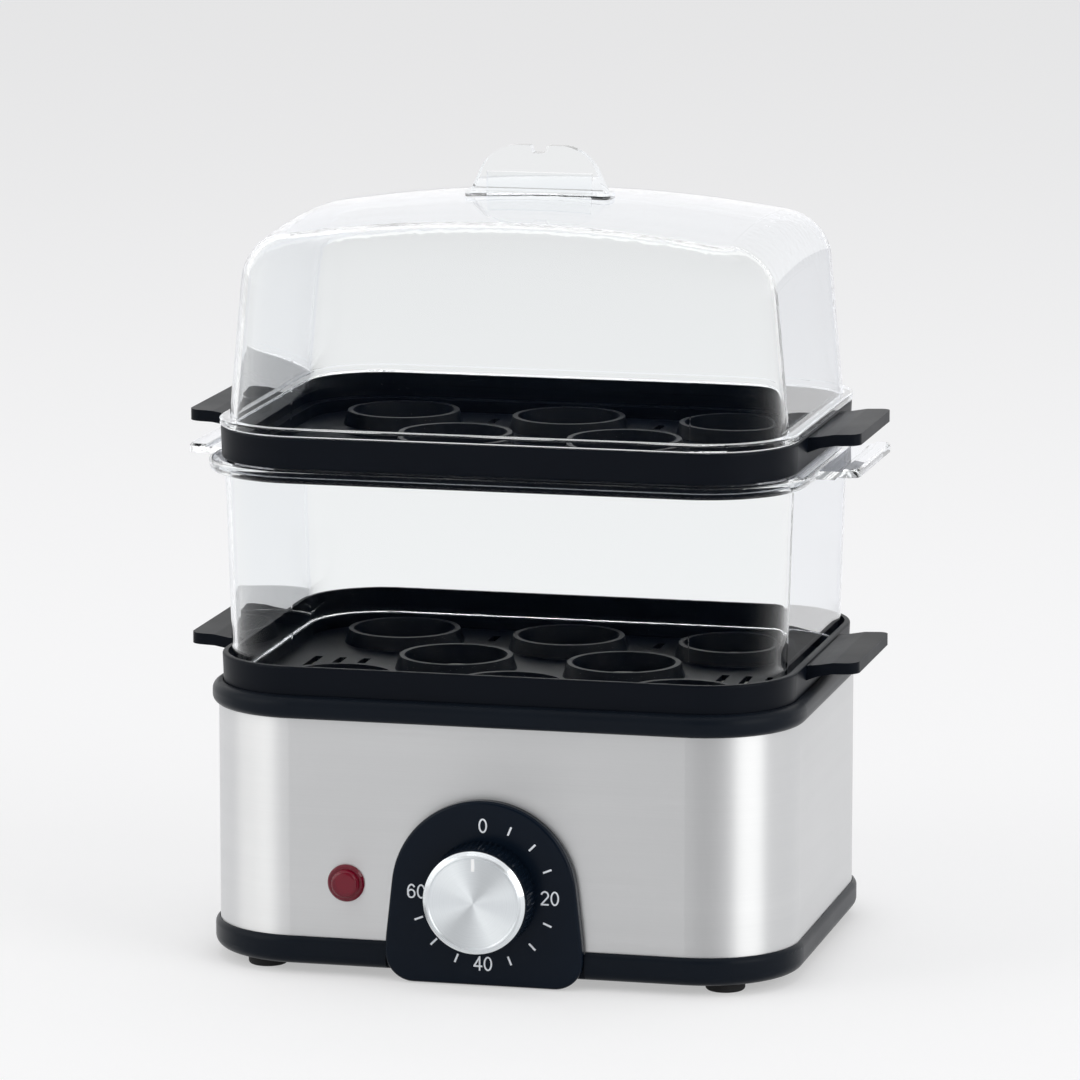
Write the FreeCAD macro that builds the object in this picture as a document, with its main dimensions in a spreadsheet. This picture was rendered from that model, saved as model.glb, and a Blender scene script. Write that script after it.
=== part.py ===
import FreeCAD, Part
import math
import os
import re

import Sketcher
from FreeCAD import Placement, Rotation, Vector

# Two-tier electric egg cooker and steamer. The front faces -Y, +Z is up, and the origin is on the
# table, on the vertical axis of the stack. Every length is in millimetres and every angle in degrees.

doc = FreeCAD.newDocument("egg_cooker")
sheet = doc.addObject("Spreadsheet::Sheet", "Sizes")

SIZES = {
    # Housing outline, shared by everything that stacks on it
    "body_width": 186.0,
    "body_depth": 143.0,
    "corner_radius": 30.0,
    # Heights of the housing, from the table up
    "foot_height": 3.0,
    "base_height": 9.35,
    "sleeve_height": 68.75,
    "ring_height": 7.2,
    # Clearances, and how far a cut starts outside what it cuts
    "seat_gap": 0.3,
    "nest_gap": 0.5,
    "slip_gap": 0.25,
    "shaft_gap": 0.06,
    "pilot_gap": 0.1,
    "shank_gap": 0.4,
    "overrun": 1.0,
    # Base
    "base_bulge": 1.55,
    "base_floor": 3.2,
    "base_under_round": 3.55,
    "base_upper_round": 2.2,
    "spigot_wall": 1.8,
    "spigot_height": 7.2,
    "tuck_depth": 1.3,
    "boss_radius": 4.6,
    "boss_top": 25.1,
    "vent_length": 26.0,
    "vent_width": 3.0,
    "vent_pitch": 7.0,
    # Feet and the long screws that go up through them
    "foot_radius": 6.2,
    "foot_round": 1.0,
    "foot_inset_side": 19.5,
    "foot_inset_front": 12.0,
    "foot_seat": 1.6,
    "foot_sink": 2.6,
    "screw_radius": 1.3,
    "screw_length": 29.4,
    "screw_head_radius": 2.8,
    "screw_head_height": 1.9,
    # Steel band
    "sleeve_wall": 0.5,
    # Top ring
    "ring_bulge": 2.0,
    "ring_lip": 1.1,
    "ring_under_round": 2.75,
    "ring_upper_round": 3.0,
    "ring_skirt": 8.0,
    "ring_skirt_wall": 2.2,
    "ring_ledge": 2.0,
    "ring_ledge_reach": 12.8,
    "post_radius": 4.0,
    "pilot_depth": 12.0,
    # Heating plate, its gasket and what hangs beneath it
    "gasket_height": 1.2,
    "plate_sheet": 0.8,
    "plate_depth": 10.8,
    "plate_draft": 4.0,
    "plate_bend": 4.0,
    "bead_radius": 35.9,
    "bead_width": 2.4,
    "spreader_side_margin": 16.9,
    "spreader_end_margin": 14.4,
    "spreader_flat": 4.0,
    "spreader_height": 2.0,
    "element_radius": 3.3,
    "element_side_margin": 13.0,
    "element_end_margin": 6.0,
    "element_opening": 13.0,
    "element_knee": 5.3,
    "element_drop": 9.0,
    "terminal_radius": 1.4,
    "terminal_length": 9.0,
    "stud_radius": 2.0,
    "stud_reach": 6.0,
    "strap_width": 16.0,
    "strap_sheet": 1.2,
    "strap_foot": 6.0,
    "nut_across_flats": 7.0,
    "nut_height": 3.2,
    "sensor_inset": 4.0,
    "thermostat_radius": 8.0,
    "thermostat_height": 9.0,
    "thermostat_brim": 2.6,
    "thermostat_step": 1.2,
    "fuse_radius": 2.0,
    "fuse_length": 11.5,
    "fuse_lead_gap": 4.0,
    "lead_radius": 0.5,
    "blade_width": 6.3,
    "blade_sheet": 0.8,
    "blade_length": 7.5,
    # Perforated trays, both tiers alike
    "tray_inset": 1.2,
    "tray_draft": 2.0,
    "tray_rim_height": 9.8,
    "tray_rim_wall": 1.8,
    "tray_rim_round": 0.7,
    "tray_web": 1.8,
    "tray_well_depth": 4.0,
    "tray_wall": 1.8,
    "tray_foot_round": 1.6,
    "tray_shoulder_round": 0.5,
    "tray_spigot_inset": 4.7,
    "cup_radius": 16.5,
    "cup_wall": 1.6,
    "cup_height": 4.4,
    "cup_draft": 18.0,
    "cup_side_gap": 12.0,
    "cup_end_gap": 5.5,
    "drain_length": 9.0,
    "drain_width": 2.6,
    "drain_pitch": 8.0,
    "end_drain_length": 16.0,
    "handle_stand_out": 15.0,
    "handle_width": 53.0,
    "handle_corner": 3.5,
    "handle_edge": 3.6,
    "handle_gusset": 1.3,
    "handle_skin": 1.8,
    "handle_drop": 0.9,
    "handle_rise": 0.7,
    "handle_slope": 0.3,
    "handle_dip": 4.7,
    "handle_climb": 9.2,
    "handle_bend": 5.8,
    # Clear bottomless tier
    "box_height": 69.5,
    "box_wall": 1.6,
    "box_top_gap": 0.72,
    "box_foot_round": 1.0,
    "box_draft": 1.75,
    "box_flange": 3.8,
    "box_flange_bulge": 2.5,
    "box_flange_under_round": 1.9,
    "box_flange_upper_round": 0.95,
    "box_land_inset": 0.6,
    "gutter_width": 2.2,
    "gutter_depth": 1.9,
    "ear_width": 56.0,
    "ear_height": 3.5,
    "ear_step": 0.8,
    "ear_sill": 2.0,
    "ear_edge": 0.7,
    # Clear lid
    "lid_inset": 0.9,
    "lid_flange": 2.4,
    "lid_flange_round": 0.63,
    "lid_wall_inset": 3.8,
    "lid_wall": 2.2,
    "lid_draft": 5.2,
    "lid_height": 68.6,
    "lid_skirt_gap": 0.4,
    "lid_skirt_height": 4.0,
    "lid_edge_radius": 17.0,
    "dome_radius_across": 450.0,
    "dome_radius_deep": 430.0,
    "dome_sweep": 30.0,
    # Fin that the lid is lifted by
    "fin_height": 15.7,
    "fin_half_width": 21.6,
    "fin_lean": 6.1,
    "fin_round": 13.0,
    "fin_base": 6.6,
    "fin_tip": 3.0,
    "fin_skin": 1.6,
    "fin_core_rise": 7.0,
    "notch_half_width": 2.6,
    "notch_flare": 0.5,
    "notch_depth": 2.4,
    "notch_round": 0.8,
    "plinth_reach": 1.9,
    "plinth_rise": 1.2,
    "plinth_corner": 2.4,
    # Dial plate
    "dial_height": 29.3,
    "dial_radius": 29.5,
    "dial_flare": 2.0,
    "dial_flare_round": 50.0,
    "dial_foot_height": 13.1,
    "dial_bottom": 0.3,
    "dial_corner": 9.0,
    "dial_stand": 0.3,
    "dial_sheet": 3.2,
    "dial_bevel": 1.1,
    "dial_spigot_radius": 16.8,
    "dial_spigot_wall": 1.6,
    # Knob
    "knob_radius": 17.2,
    "knob_taper": 0.5,
    "knob_depth": 9.6,
    "knob_wall": 2.0,
    "knob_hub_wall": 2.4,
    "knob_gap": 0.4,
    "flute_radius": 0.7,
    "cap_margin": 0.5,
    "cap_depth": 3.0,
    "cap_bevel": 1.6,
    "cap_sheet": 0.8,
    "cap_rim": 0.3,
    "cap_dish": 0.24,
    "core_margin": 0.6,
    "shaft_radius": 3.0,
    "shaft_flat": 2.2,
    "shaft_chamfer": 0.4,
    "key_bite": 0.6,
    # Timer
    "timer_width": 44.0,
    "timer_height": 38.0,
    "timer_depth": 24.0,
    "timer_corner": 3.0,
    "timer_bore_depth": 14.4,
    "timer_boss_wall": 1.5,
    "timer_screw_length": 8.0,
    "blade_inset": 2.4,
    "bell_radius": 18.0,
    "bell_depth": 10.0,
    "bell_sheet": 1.0,
    "bell_round": 5.0,
    "bell_post_radius": 3.0,
    # Lamp
    "lamp_x": -44.7,
    "lamp_height": 29.9,
    "lens_radius": 4.4,
    "lens_wall": 0.9,
    "lens_rise": 2.0,
    "lens_round": 1.3,
    "lens_flange": 1.5,
    "lens_flange_height": 1.0,
    "lens_flange_edge": 0.5,
    "lens_barrel": 14.0,
    "clip_width": 2.2,
    "clip_height": 1.3,
    "bulb_tail": 6.0,
    "bulb_lead_pitch": 3.0,
    "bulb_lead_length": 7.0,
    # Cord gland
    "gland_x": 48.0,
    "gland_height": 32.1,
    "gland_bore_radius": 3.6,
    "gland_mouth_flare": 1.4,
    "gland_mouth_depth": 4.0,
    "gland_wall": 2.6,
    "gland_flange_width": 2.0,
    "gland_flange": 2.5,
    "gland_edge": 1.0,
    "gland_barb": 1.2,
    "gland_barb_length": 2.5,
    "gland_tail_taper": 0.8,
    "gland_length": 15.0,
    # Terminal block
    "block_x": 34.0,
    "block_setback": 31.5,
    "block_length": 30.0,
    "block_width": 15.0,
    "block_height": 7.8,
    "block_stand": 3.0,
    "block_boss_wall": 2.0,
    "block_pilot_depth": 1.4,
    "post_pitch": 18.0,
    "post_length": 8.0,
    "post_width": 12.0,
    "post_height": 5.2,
    "well_radius": 2.0,
    "entry_radius": 1.6,
    "entry_height": 4.6,
    "well_overlap": 0.6,
}

for row, (alias, value) in enumerate(SIZES.items(), start=1):
    sheet.set(f"A{row}", str(value))
    sheet.setAlias(f"A{row}", alias)
doc.recompute()

# ---------------------------------------------------------------- levels, as expressions of the sizes

base_bottom = "foot_height"
floor_top = "(foot_height + base_floor)"
base_top = "(foot_height + base_height)"
ring_bottom = "(foot_height + base_height + sleeve_height)"
ring_top = f"({ring_bottom} + ring_height)"
ring_land = f"({ring_top} - ring_lip)"
lower_shoulder = f"({ring_land} + seat_gap)"
box_bottom = f"({lower_shoulder} + tray_web + seat_gap)"
box_top = f"({box_bottom} + box_height)"
upper_shoulder = f"({box_top} + seat_gap)"
lid_bottom = f"({upper_shoulder} + tray_rim_height + seat_gap)"
lid_top = f"({lid_bottom} + lid_height)"
ledge_top = f"({lower_shoulder} - tray_well_depth - 2 * seat_gap - plate_sheet - gasket_height)"
plate_seat = f"({ledge_top} + gasket_height)"
plate_floor = f"({plate_seat} + plate_sheet - plate_depth)"
spreader_bottom = f"({plate_floor} - plate_sheet - spreader_height)"
element_bottom = f"({spreader_bottom} - 2 * element_radius - pilot_gap)"
front_face = "(body_depth / 2)"
plate_back = f"({front_face} + dial_stand)"
dial_face = f"({plate_back} + dial_sheet)"
sleeve_back = f"({front_face} - sleeve_wall)"
timer_front = f"({sleeve_back} - slip_gap - spigot_wall - slip_gap)"
timer_back = f"({timer_front} - timer_depth)"

# ---------------------------------------------------------------- sizes that follow from others

foot_x = "(body_width / 2 - foot_inset_side)"
foot_y = "(body_depth / 2 - foot_inset_front)"
throat = "(tray_spigot_inset - nest_gap)"
dish_inset = "(ring_ledge_reach + nest_gap)"
floor_inset = f"({dish_inset} + plate_sheet + plate_bend)"
spreader_length = f"(body_width - 2 * {floor_inset} - 2 * spreader_side_margin)"
spreader_width = f"(body_depth - 2 * {floor_inset} - 2 * spreader_end_margin)"
element_bend = f"({spreader_width} / 2 - element_side_margin)"
element_straight = f"({spreader_length} / 2 - element_end_margin - {element_bend})"
sensor_x = f"({element_straight} - sensor_inset)"
handle_reach = "(body_width / 2 + handle_stand_out)"
cup_foot = "(cup_radius + cup_wall + cup_height * tan(cup_draft))"
cup_pitch = f"(body_width / 2 - tray_spigot_inset - tray_wall - cup_side_gap - {cup_foot})"
cup_row_pitch = f"(body_depth / 2 - tray_spigot_inset - tray_wall - cup_end_gap - {cup_foot})"
box_foot_inset = "(tray_spigot_inset - box_top_gap - box_wall + box_height * tan(box_draft))"
lid_skirt_inset = "(tray_inset + tray_rim_wall + lid_skirt_gap)"
timer_screw_x = "(dial_spigot_radius - dial_spigot_wall - screw_head_radius)"
cap_radius = "(knob_radius - knob_taper - cap_margin)"
block_y = "(body_depth / 2 - block_setback)"


def linked(expression):
    """The expression with every size written as a cell of the sheet."""
    return re.sub(r"\b[a-z][a-z_]*\b(?!\s*\()", lambda m: f"Sizes.{m.group(0)}", expression)


def number(expression):
    return float(sheet.evalExpression(linked(expression)))


def bind(target, prop, expression):
    target.setExpression(prop, linked(expression))


# ---------------------------------------------------------------- sketch and feature helpers


def new_body(label, x="0", y="0", z="0", turn=None):
    """A body at x, y, z. turn 'front' points its own +Z to the front, 'rear' to the rear."""
    body = doc.addObject("PartDesign::Body", label)
    body.Label = label
    angle = {None: 0, "front": 90, "rear": -90}[turn]
    body.Placement = Placement(Vector(0, 0, 0), Rotation(Vector(1, 0, 0), angle))
    for axis, expression in (("x", x), ("y", y), ("z", z)):
        if expression != "0":
            bind(body, f"Placement.Base.{axis}", expression)
    return body


def new_sketch(body, name, plane="XY_Plane", offset="0"):
    """A sketch on one of the body's own planes. On XZ_Plane a positive offset goes to -Y."""
    sketch = body.newObject("Sketcher::SketchObject", name)
    support = next(item for item in body.Origin.OriginFeatures if item.Role == plane)
    sketch.AttachmentSupport = [(support, "")]
    sketch.MapMode = "FlatFace"
    if offset != "0":
        bind(sketch, "AttachmentOffset.Base.z", offset)
    return sketch


def dimension(sketch, kind, *arguments):
    """A driven dimension: the last argument is the expression that sets it."""
    *geometry, expression = arguments
    index = sketch.addConstraint(Sketcher.Constraint(kind, *geometry, number(expression)))
    sketch.setExpression(f"Constraints[{index}]", linked(expression))


def fix_point(sketch, geometry, position, x, y):
    """Holds one point of a sketch at x, y from the sketch's origin."""
    if x == "0":
        sketch.addConstraint(Sketcher.Constraint("PointOnObject", geometry, position, -2))
    else:
        dimension(sketch, "DistanceX", -1, 1, geometry, position, x)
    if y == "0":
        sketch.addConstraint(Sketcher.Constraint("PointOnObject", geometry, position, -1))
    else:
        dimension(sketch, "DistanceY", -1, 1, geometry, position, y)


def add_circle(sketch, x, y, radius):
    centre = Vector(number(x), number(y), 0)
    circle = sketch.addGeometry(Part.Circle(centre, Vector(0, 0, 1), number(radius)), False)
    fix_point(sketch, circle, 3, x, y)
    dimension(sketch, "Radius", circle, radius)
    return circle


def add_outline(sketch, points):
    """A closed outline of straight edges through points given as pairs of expressions."""
    places = [Vector(number(x), number(y), 0) for x, y in points]
    lines = []
    for start, end in zip(places, places[1:] + places[:1]):
        lines.append(sketch.addGeometry(Part.LineSegment(start, end), False))
    for line, following in zip(lines, lines[1:] + lines[:1]):
        sketch.addConstraint(Sketcher.Constraint("Coincident", line, 2, following, 1))
    for line, (x, y) in zip(lines, points):
        fix_point(sketch, line, 1, x, y)
    return lines


def add_box(sketch, x_low, y_low, x_high, y_high):
    return add_outline(sketch, [(x_low, y_low), (x_high, y_low), (x_high, y_high), (x_low, y_high)])


def add_rounded_rectangle(sketch, width, depth, radius):
    """A rectangle about the sketch's origin whose corners are tangent arcs."""
    x, y, r = number(width) / 2, number(depth) / 2, number(radius)
    up = Vector(0, 0, 1)
    quarter = math.pi / 2
    sides = []
    for start, end in (
        ((r - x, -y), (x - r, -y)),
        ((x, r - y), (x, y - r)),
        ((x - r, y), (r - x, y)),
        ((-x, y - r), (-x, r - y)),
    ):
        segment = Part.LineSegment(Vector(*start, 0), Vector(*end, 0))
        sides.append(sketch.addGeometry(segment, False))
    corners = []
    for index, (cx, cy) in enumerate(((x - r, r - y), (x - r, y - r), (r - x, y - r), (r - x, r - y))):
        circle = Part.Circle(Vector(cx, cy, 0), up, r)
        arc = Part.ArcOfCircle(circle, (index - 1) * quarter, index * quarter)
        corners.append(sketch.addGeometry(arc, False))
    for index, side in enumerate(sides):
        kind = "Vertical" if index % 2 else "Horizontal"
        sketch.addConstraint(Sketcher.Constraint(kind, side))
        sketch.addConstraint(Sketcher.Constraint("Tangent", side, 2, corners[index], 1))
        following = sides[(index + 1) % 4]
        sketch.addConstraint(Sketcher.Constraint("Tangent", corners[index], 2, following, 1))
    for corner in corners[1:]:
        sketch.addConstraint(Sketcher.Constraint("Equal", corners[0], corner))
    sketch.addConstraint(Sketcher.Constraint("Symmetric", corners[0], 3, corners[2], 3, -1, 1))
    dimension(sketch, "DistanceX", sides[3], 1, sides[1], 1, width)
    dimension(sketch, "DistanceY", sides[0], 1, sides[2], 1, depth)
    dimension(sketch, "Radius", corners[0], radius)


def add_footprint(sketch, outward):
    """The housing's outline, moved outward by the expression (negative is inward)."""
    add_rounded_rectangle(
        sketch,
        f"body_width + 2 * ({outward})",
        f"body_depth + 2 * ({outward})",
        f"corner_radius + ({outward})",
    )


def pad(body, name, sketch, length, taper="0", down=False, both=False):
    feature = body.newObject("PartDesign::Pad", name)
    feature.Profile = sketch
    feature.Reversed = down
    feature.Midplane = both
    bind(feature, "Length", length)
    if taper != "0":
        bind(feature, "TaperAngle", taper)
    doc.recompute()
    return feature


def pocket(body, name, sketch, length=None, taper="0", up=False, both=False):
    """A pocket goes down from its sketch, or up; with no length it goes through everything."""
    before = body.Shape.Volume
    feature = body.newObject("PartDesign::Pocket", name)
    feature.Profile = sketch
    feature.Reversed = up
    feature.Midplane = both
    if length is None:
        feature.Type = "ThroughAll"
    else:
        bind(feature, "Length", length)
    if taper != "0":
        bind(feature, "TaperAngle", taper)
    doc.recompute()
    if not before - body.Shape.Volume > 1e-3:
        raise ValueError(f"{body.Label}: {name} cuts nothing")
    return feature


def revolve(body, name, sketch):
    """Turns a profile, drawn in the XZ plane, about the body's own Z axis."""
    feature = body.newObject("PartDesign::Revolution", name)
    feature.Profile = sketch
    feature.ReferenceAxis = (sketch, ["V_Axis"])
    feature.Angle = 360
    doc.recompute()
    return feature


def edges_where(shape, wanted):
    return [f"Edge{i}" for i, edge in enumerate(shape.Edges, start=1) if wanted(edge)]


def round_edges(body, name, radius, wanted, kind="Fillet"):
    """Fillets or chamfers the edges of the body's tip that the test picks."""
    base = body.Tip
    feature = body.newObject(f"PartDesign::{kind}", name)
    names = edges_where(base.Shape, wanted)
    if not names:
        raise ValueError(f"{body.Label}: {name} found no edge")
    feature.Base = (base, names)
    bind(feature, "Radius" if kind == "Fillet" else "Size", radius)
    doc.recompute()
    return feature


def level(z):
    """A test for edges that lie flat at the height z."""
    height = number(z)
    return lambda edge: (
        abs(edge.BoundBox.ZMin - height) < 0.01 and abs(edge.BoundBox.ZMax - height) < 0.01
    )


def outside(test, inset):
    """Narrows a test to edges that reach the footprint's edge, less an inset."""
    reach = number(f"body_width / 2 - ({inset})")
    depth = number(f"body_depth / 2 - ({inset})")
    return lambda edge: test(edge) and (
        max(edge.BoundBox.XMax, -edge.BoundBox.XMin) > reach
        or max(edge.BoundBox.YMax, -edge.BoundBox.YMin) > depth
    )


def four_corners(x, y):
    return [(x, y), (f"-{x}", y), (f"-{x}", f"-{y}"), (x, f"-{y}")]


def turned_part(label, profile, x="0", y="0", z="0", turn=None):
    """A round piece turned from a profile of radius and height pairs."""
    body = new_body(label, x, y, z, turn)
    sketch = new_sketch(body, f"{label}_profile", "XZ_Plane")
    add_outline(sketch, profile)
    revolve(body, f"{label}_turning", sketch)
    return body


# ---------------------------------------------------------------- base, feet and screws


VENT_ROWS = 6


def base_housing():
    body = new_body("base_housing")
    plan = new_sketch(body, "base_plan", offset=base_bottom)
    add_footprint(plan, "base_bulge")
    pad(body, "base_block", plan, "base_height")
    round_edges(body, "base_under_edge", "base_under_round", level(base_bottom))
    round_edges(body, "base_upper_edge", "base_upper_round", level(base_top))
    well = new_sketch(body, "base_well_plan", offset=base_top)
    add_footprint(well, "-(sleeve_wall + slip_gap + spigot_wall)")
    pocket(body, "base_well", well, f"{base_top} - {floor_top}")

    # The spigot stands inside the steel band, which drops into the tuck around it
    spigot = new_sketch(body, "spigot_plan", offset=f"{base_top} - tuck_depth")
    add_footprint(spigot, "-(sleeve_wall + slip_gap)")
    add_footprint(spigot, "-(sleeve_wall + slip_gap + spigot_wall)")
    pad(body, "spigot", spigot, "tuck_depth + spigot_height")
    tuck = new_sketch(body, "tuck_plan", offset=base_top)
    add_footprint(tuck, "slip_gap")
    add_footprint(tuck, "-(sleeve_wall + slip_gap)")
    pocket(body, "tuck", tuck, "tuck_depth")

    bosses = new_sketch(body, "boss_plan", offset=base_bottom)
    for x, y in four_corners(foot_x, foot_y):
        add_circle(bosses, x, y, "boss_radius")
    pad(body, "bosses", bosses, f"boss_top - {base_bottom}")
    seats = new_sketch(body, "foot_seat_plan", offset=f"{base_bottom} + foot_seat")
    for x, y in four_corners(foot_x, foot_y):
        add_circle(seats, x, y, "foot_radius + slip_gap")
    pocket(body, "foot_seats", seats, "foot_seat + overrun")
    holes = new_sketch(body, "boss_hole_plan", offset="boss_top")
    for x, y in four_corners(foot_x, foot_y):
        add_circle(holes, x, y, "screw_radius + shank_gap")
    pocket(body, "boss_holes", holes)

    slots = new_sketch(body, "vent_plan", offset=floor_top)
    for column in (-1, 1):
        for index in range(VENT_ROWS):
            centre = f"{column} * (vent_length / 2 + vent_pitch)"
            row_y = f"{index - (VENT_ROWS - 1) / 2} * vent_pitch"
            add_box(
                slots,
                f"{centre} - vent_length / 2",
                f"{row_y} - vent_width / 2",
                f"{centre} + vent_length / 2",
                f"{row_y} + vent_width / 2",
            )
    pocket(body, "vents", slots, "base_floor")

    # The dial plate laps over the front of the base, and its spigot passes through the base's
    recess = new_sketch(body, "dial_recess_plan", "XZ_Plane", offset=f"{plate_back} - slip_gap")
    add_dial_outline(recess, "slip_gap", f"{base_bottom} - overrun")
    pocket(body, "dial_recess", recess, up=True)
    opening = new_sketch(body, "timer_opening_plan", "XZ_Plane", offset=f"{plate_back} + overrun")
    add_circle(opening, "0", "dial_height", "dial_spigot_radius + slip_gap")
    pocket(body, "timer_opening", opening, f"{plate_back} + overrun - {timer_front}")
    block_boss = new_sketch(body, "block_boss_plan", offset=floor_top)
    add_circle(block_boss, "block_x", block_y, "screw_radius + block_boss_wall")
    pad(body, "block_boss", block_boss, "block_stand")
    block_pilot = new_sketch(body, "block_pilot_plan", offset=f"{floor_top} + block_stand")
    add_circle(block_pilot, "block_x", block_y, "screw_radius + pilot_gap")
    pocket(body, "block_pilot", block_pilot, "block_stand + block_pilot_depth")
    return body


def add_dial_outline(sketch, grow, bottom):
    """The dial plate's shape: a round top over flared sides that run straight down to the bottom."""
    top_radius = f"(dial_radius + {grow})"
    foot = f"(dial_radius + dial_flare + {grow})"
    radius = number(top_radius)
    centre_z = number("dial_height")
    half = number(foot)
    low = number(bottom)
    foot_z = number("dial_foot_height")
    top = Part.ArcOfCircle(Part.Circle(Vector(0, centre_z, 0), Vector(0, 0, 1), radius), 0.0, math.pi)
    arc = sketch.addGeometry(top, False)
    places = [
        Vector(-radius, centre_z, 0),
        Vector(-half, foot_z, 0),
        Vector(-half, low, 0),
        Vector(half, low, 0),
        Vector(half, foot_z, 0),
        Vector(radius, centre_z, 0),
    ]
    lines = [
        sketch.addGeometry(Part.LineSegment(start, end), False)
        for start, end in zip(places, places[1:])
    ]
    sketch.addConstraint(Sketcher.Constraint("Coincident", arc, 2, lines[0], 1))
    for line, following in zip(lines, lines[1:]):
        sketch.addConstraint(Sketcher.Constraint("Coincident", line, 2, following, 1))
    sketch.addConstraint(Sketcher.Constraint("Coincident", lines[-1], 2, arc, 1))
    fix_point(sketch, arc, 3, "0", "dial_height")
    dimension(sketch, "Radius", arc, top_radius)
    sketch.addConstraint(Sketcher.Constraint("Tangent", lines[0], arc))
    sketch.addConstraint(Sketcher.Constraint("Tangent", lines[-1], arc))
    fix_point(sketch, lines[0], 2, f"-{foot}", "dial_foot_height")
    fix_point(sketch, lines[1], 2, f"-{foot}", bottom)
    fix_point(sketch, lines[2], 2, foot, bottom)
    fix_point(sketch, lines[3], 2, foot, "dial_foot_height")


def rubber_feet():
    body = new_body("rubber_feet")
    plan = new_sketch(body, "feet_plan")
    for x, y in four_corners(foot_x, foot_y):
        add_circle(plan, x, y, "foot_radius")
    pad(body, "feet_pads", plan, "foot_height + foot_seat")
    round_edges(body, "feet_edges", "foot_round", level("0"))
    bores = new_sketch(body, "feet_bore_plan")
    for x, y in four_corners(foot_x, foot_y):
        add_circle(bores, x, y, "screw_radius + shank_gap")
    pocket(body, "feet_bores", bores, up=True)
    sinks = new_sketch(body, "feet_sink_plan")
    for x, y in four_corners(foot_x, foot_y):
        add_circle(sinks, x, y, "screw_head_radius + slip_gap")
    pocket(body, "feet_sinks", sinks, "foot_sink", up=True)
    return body


def base_screws():
    body = new_body("base_screws")
    shanks = new_sketch(body, "shank_plan", offset="foot_sink")
    for x, y in four_corners(foot_x, foot_y):
        add_circle(shanks, x, y, "screw_radius")
    pad(body, "shanks", shanks, "screw_length")
    heads = new_sketch(body, "head_plan", offset="foot_sink")
    for x, y in four_corners(foot_x, foot_y):
        add_circle(heads, x, y, "screw_head_radius")
    pad(body, "heads", heads, "screw_head_height", down=True)
    return body


# ---------------------------------------------------------------- steel band


def steel_sleeve():
    body = new_body("steel_sleeve")
    plan = new_sketch(body, "sleeve_plan", offset=f"{base_top} - tuck_depth + seat_gap")
    add_footprint(plan, "0")
    add_footprint(plan, "-sleeve_wall")
    pad(body, "sleeve_band", plan, "sleeve_height + 2 * (tuck_depth - seat_gap)")
    front = new_sketch(body, "front_holes", "XZ_Plane", offset=f"{front_face} + overrun")
    add_circle(front, "0", "dial_height", "dial_spigot_radius + slip_gap")
    add_circle(front, "lamp_x", "lamp_height", "lens_radius + slip_gap")
    pocket(body, "front_cuts", front, "sleeve_wall + 2 * overrun")
    rear = new_sketch(body, "rear_hole", "XZ_Plane", offset=f"-({front_face} + overrun)")
    add_circle(rear, "gland_x", "gland_height", "gland_bore_radius + gland_wall + slip_gap")
    pocket(body, "rear_cut", rear, "sleeve_wall + 2 * overrun", up=True)
    return body


# ---------------------------------------------------------------- top ring, gasket and heating plate


def top_ring():
    body = new_body("top_ring")
    plan = new_sketch(body, "ring_plan", offset=ring_bottom)
    add_footprint(plan, "ring_bulge")
    pad(body, "ring_block", plan, "ring_height")
    round_edges(body, "ring_under_edge", "ring_under_round", level(ring_bottom))
    round_edges(body, "ring_upper_edge", "ring_upper_round", level(ring_top))
    seat = new_sketch(body, "ring_seat_plan", offset=ring_top)
    add_footprint(seat, "-tray_inset")
    pocket(body, "ring_seat", seat, "ring_lip")
    skirt = new_sketch(body, "ring_skirt_plan", offset=ring_bottom)
    add_footprint(skirt, "-(sleeve_wall + slip_gap)")
    pad(body, "ring_skirt_block", skirt, "ring_skirt", down=True)
    mouth = new_sketch(body, "ring_throat_plan", offset=ring_land)
    add_footprint(mouth, f"-{throat}")
    pocket(body, "ring_throat", mouth, f"{ring_land} - {ledge_top}")
    under = new_sketch(body, "ring_under_plan", offset=f"{ring_bottom} - ring_skirt")
    add_footprint(under, "-(sleeve_wall + slip_gap + ring_skirt_wall)")
    pocket(body, "ring_hollow", under, f"{ledge_top} - ring_ledge - {ring_bottom} + ring_skirt", up=True)
    opening = new_sketch(body, "ring_opening_plan", offset=ledge_top)
    add_footprint(opening, "-ring_ledge_reach")
    pocket(body, "ring_opening", opening)
    tuck = new_sketch(body, "ring_tuck_plan", offset=ring_bottom)
    add_footprint(tuck, "slip_gap")
    add_footprint(tuck, "-(sleeve_wall + slip_gap)")
    pocket(body, "ring_tuck", tuck, "tuck_depth", up=True)

    posts = new_sketch(body, "post_plan", offset=f"{ledge_top} - ring_ledge / 2")
    for x, y in four_corners(foot_x, foot_y):
        add_circle(posts, x, y, "post_radius")
    pad(body, "posts", posts, f"{ledge_top} - ring_ledge / 2 - boss_top - seat_gap", down=True)
    pilots = new_sketch(body, "pilot_plan", offset="boss_top + seat_gap")
    for x, y in four_corners(foot_x, foot_y):
        add_circle(pilots, x, y, "screw_radius + pilot_gap")
    pocket(body, "pilots", pilots, "pilot_depth", up=True)
    return body


def plate_gasket():
    body = new_body("plate_gasket")
    plan = new_sketch(body, "gasket_plan", offset=ledge_top)
    add_footprint(plan, "-(tray_spigot_inset + slip_gap)")
    add_footprint(plan, "-(ring_ledge_reach - slip_gap)")
    pad(body, "gasket_band", plan, "gasket_height")
    return body


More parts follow.
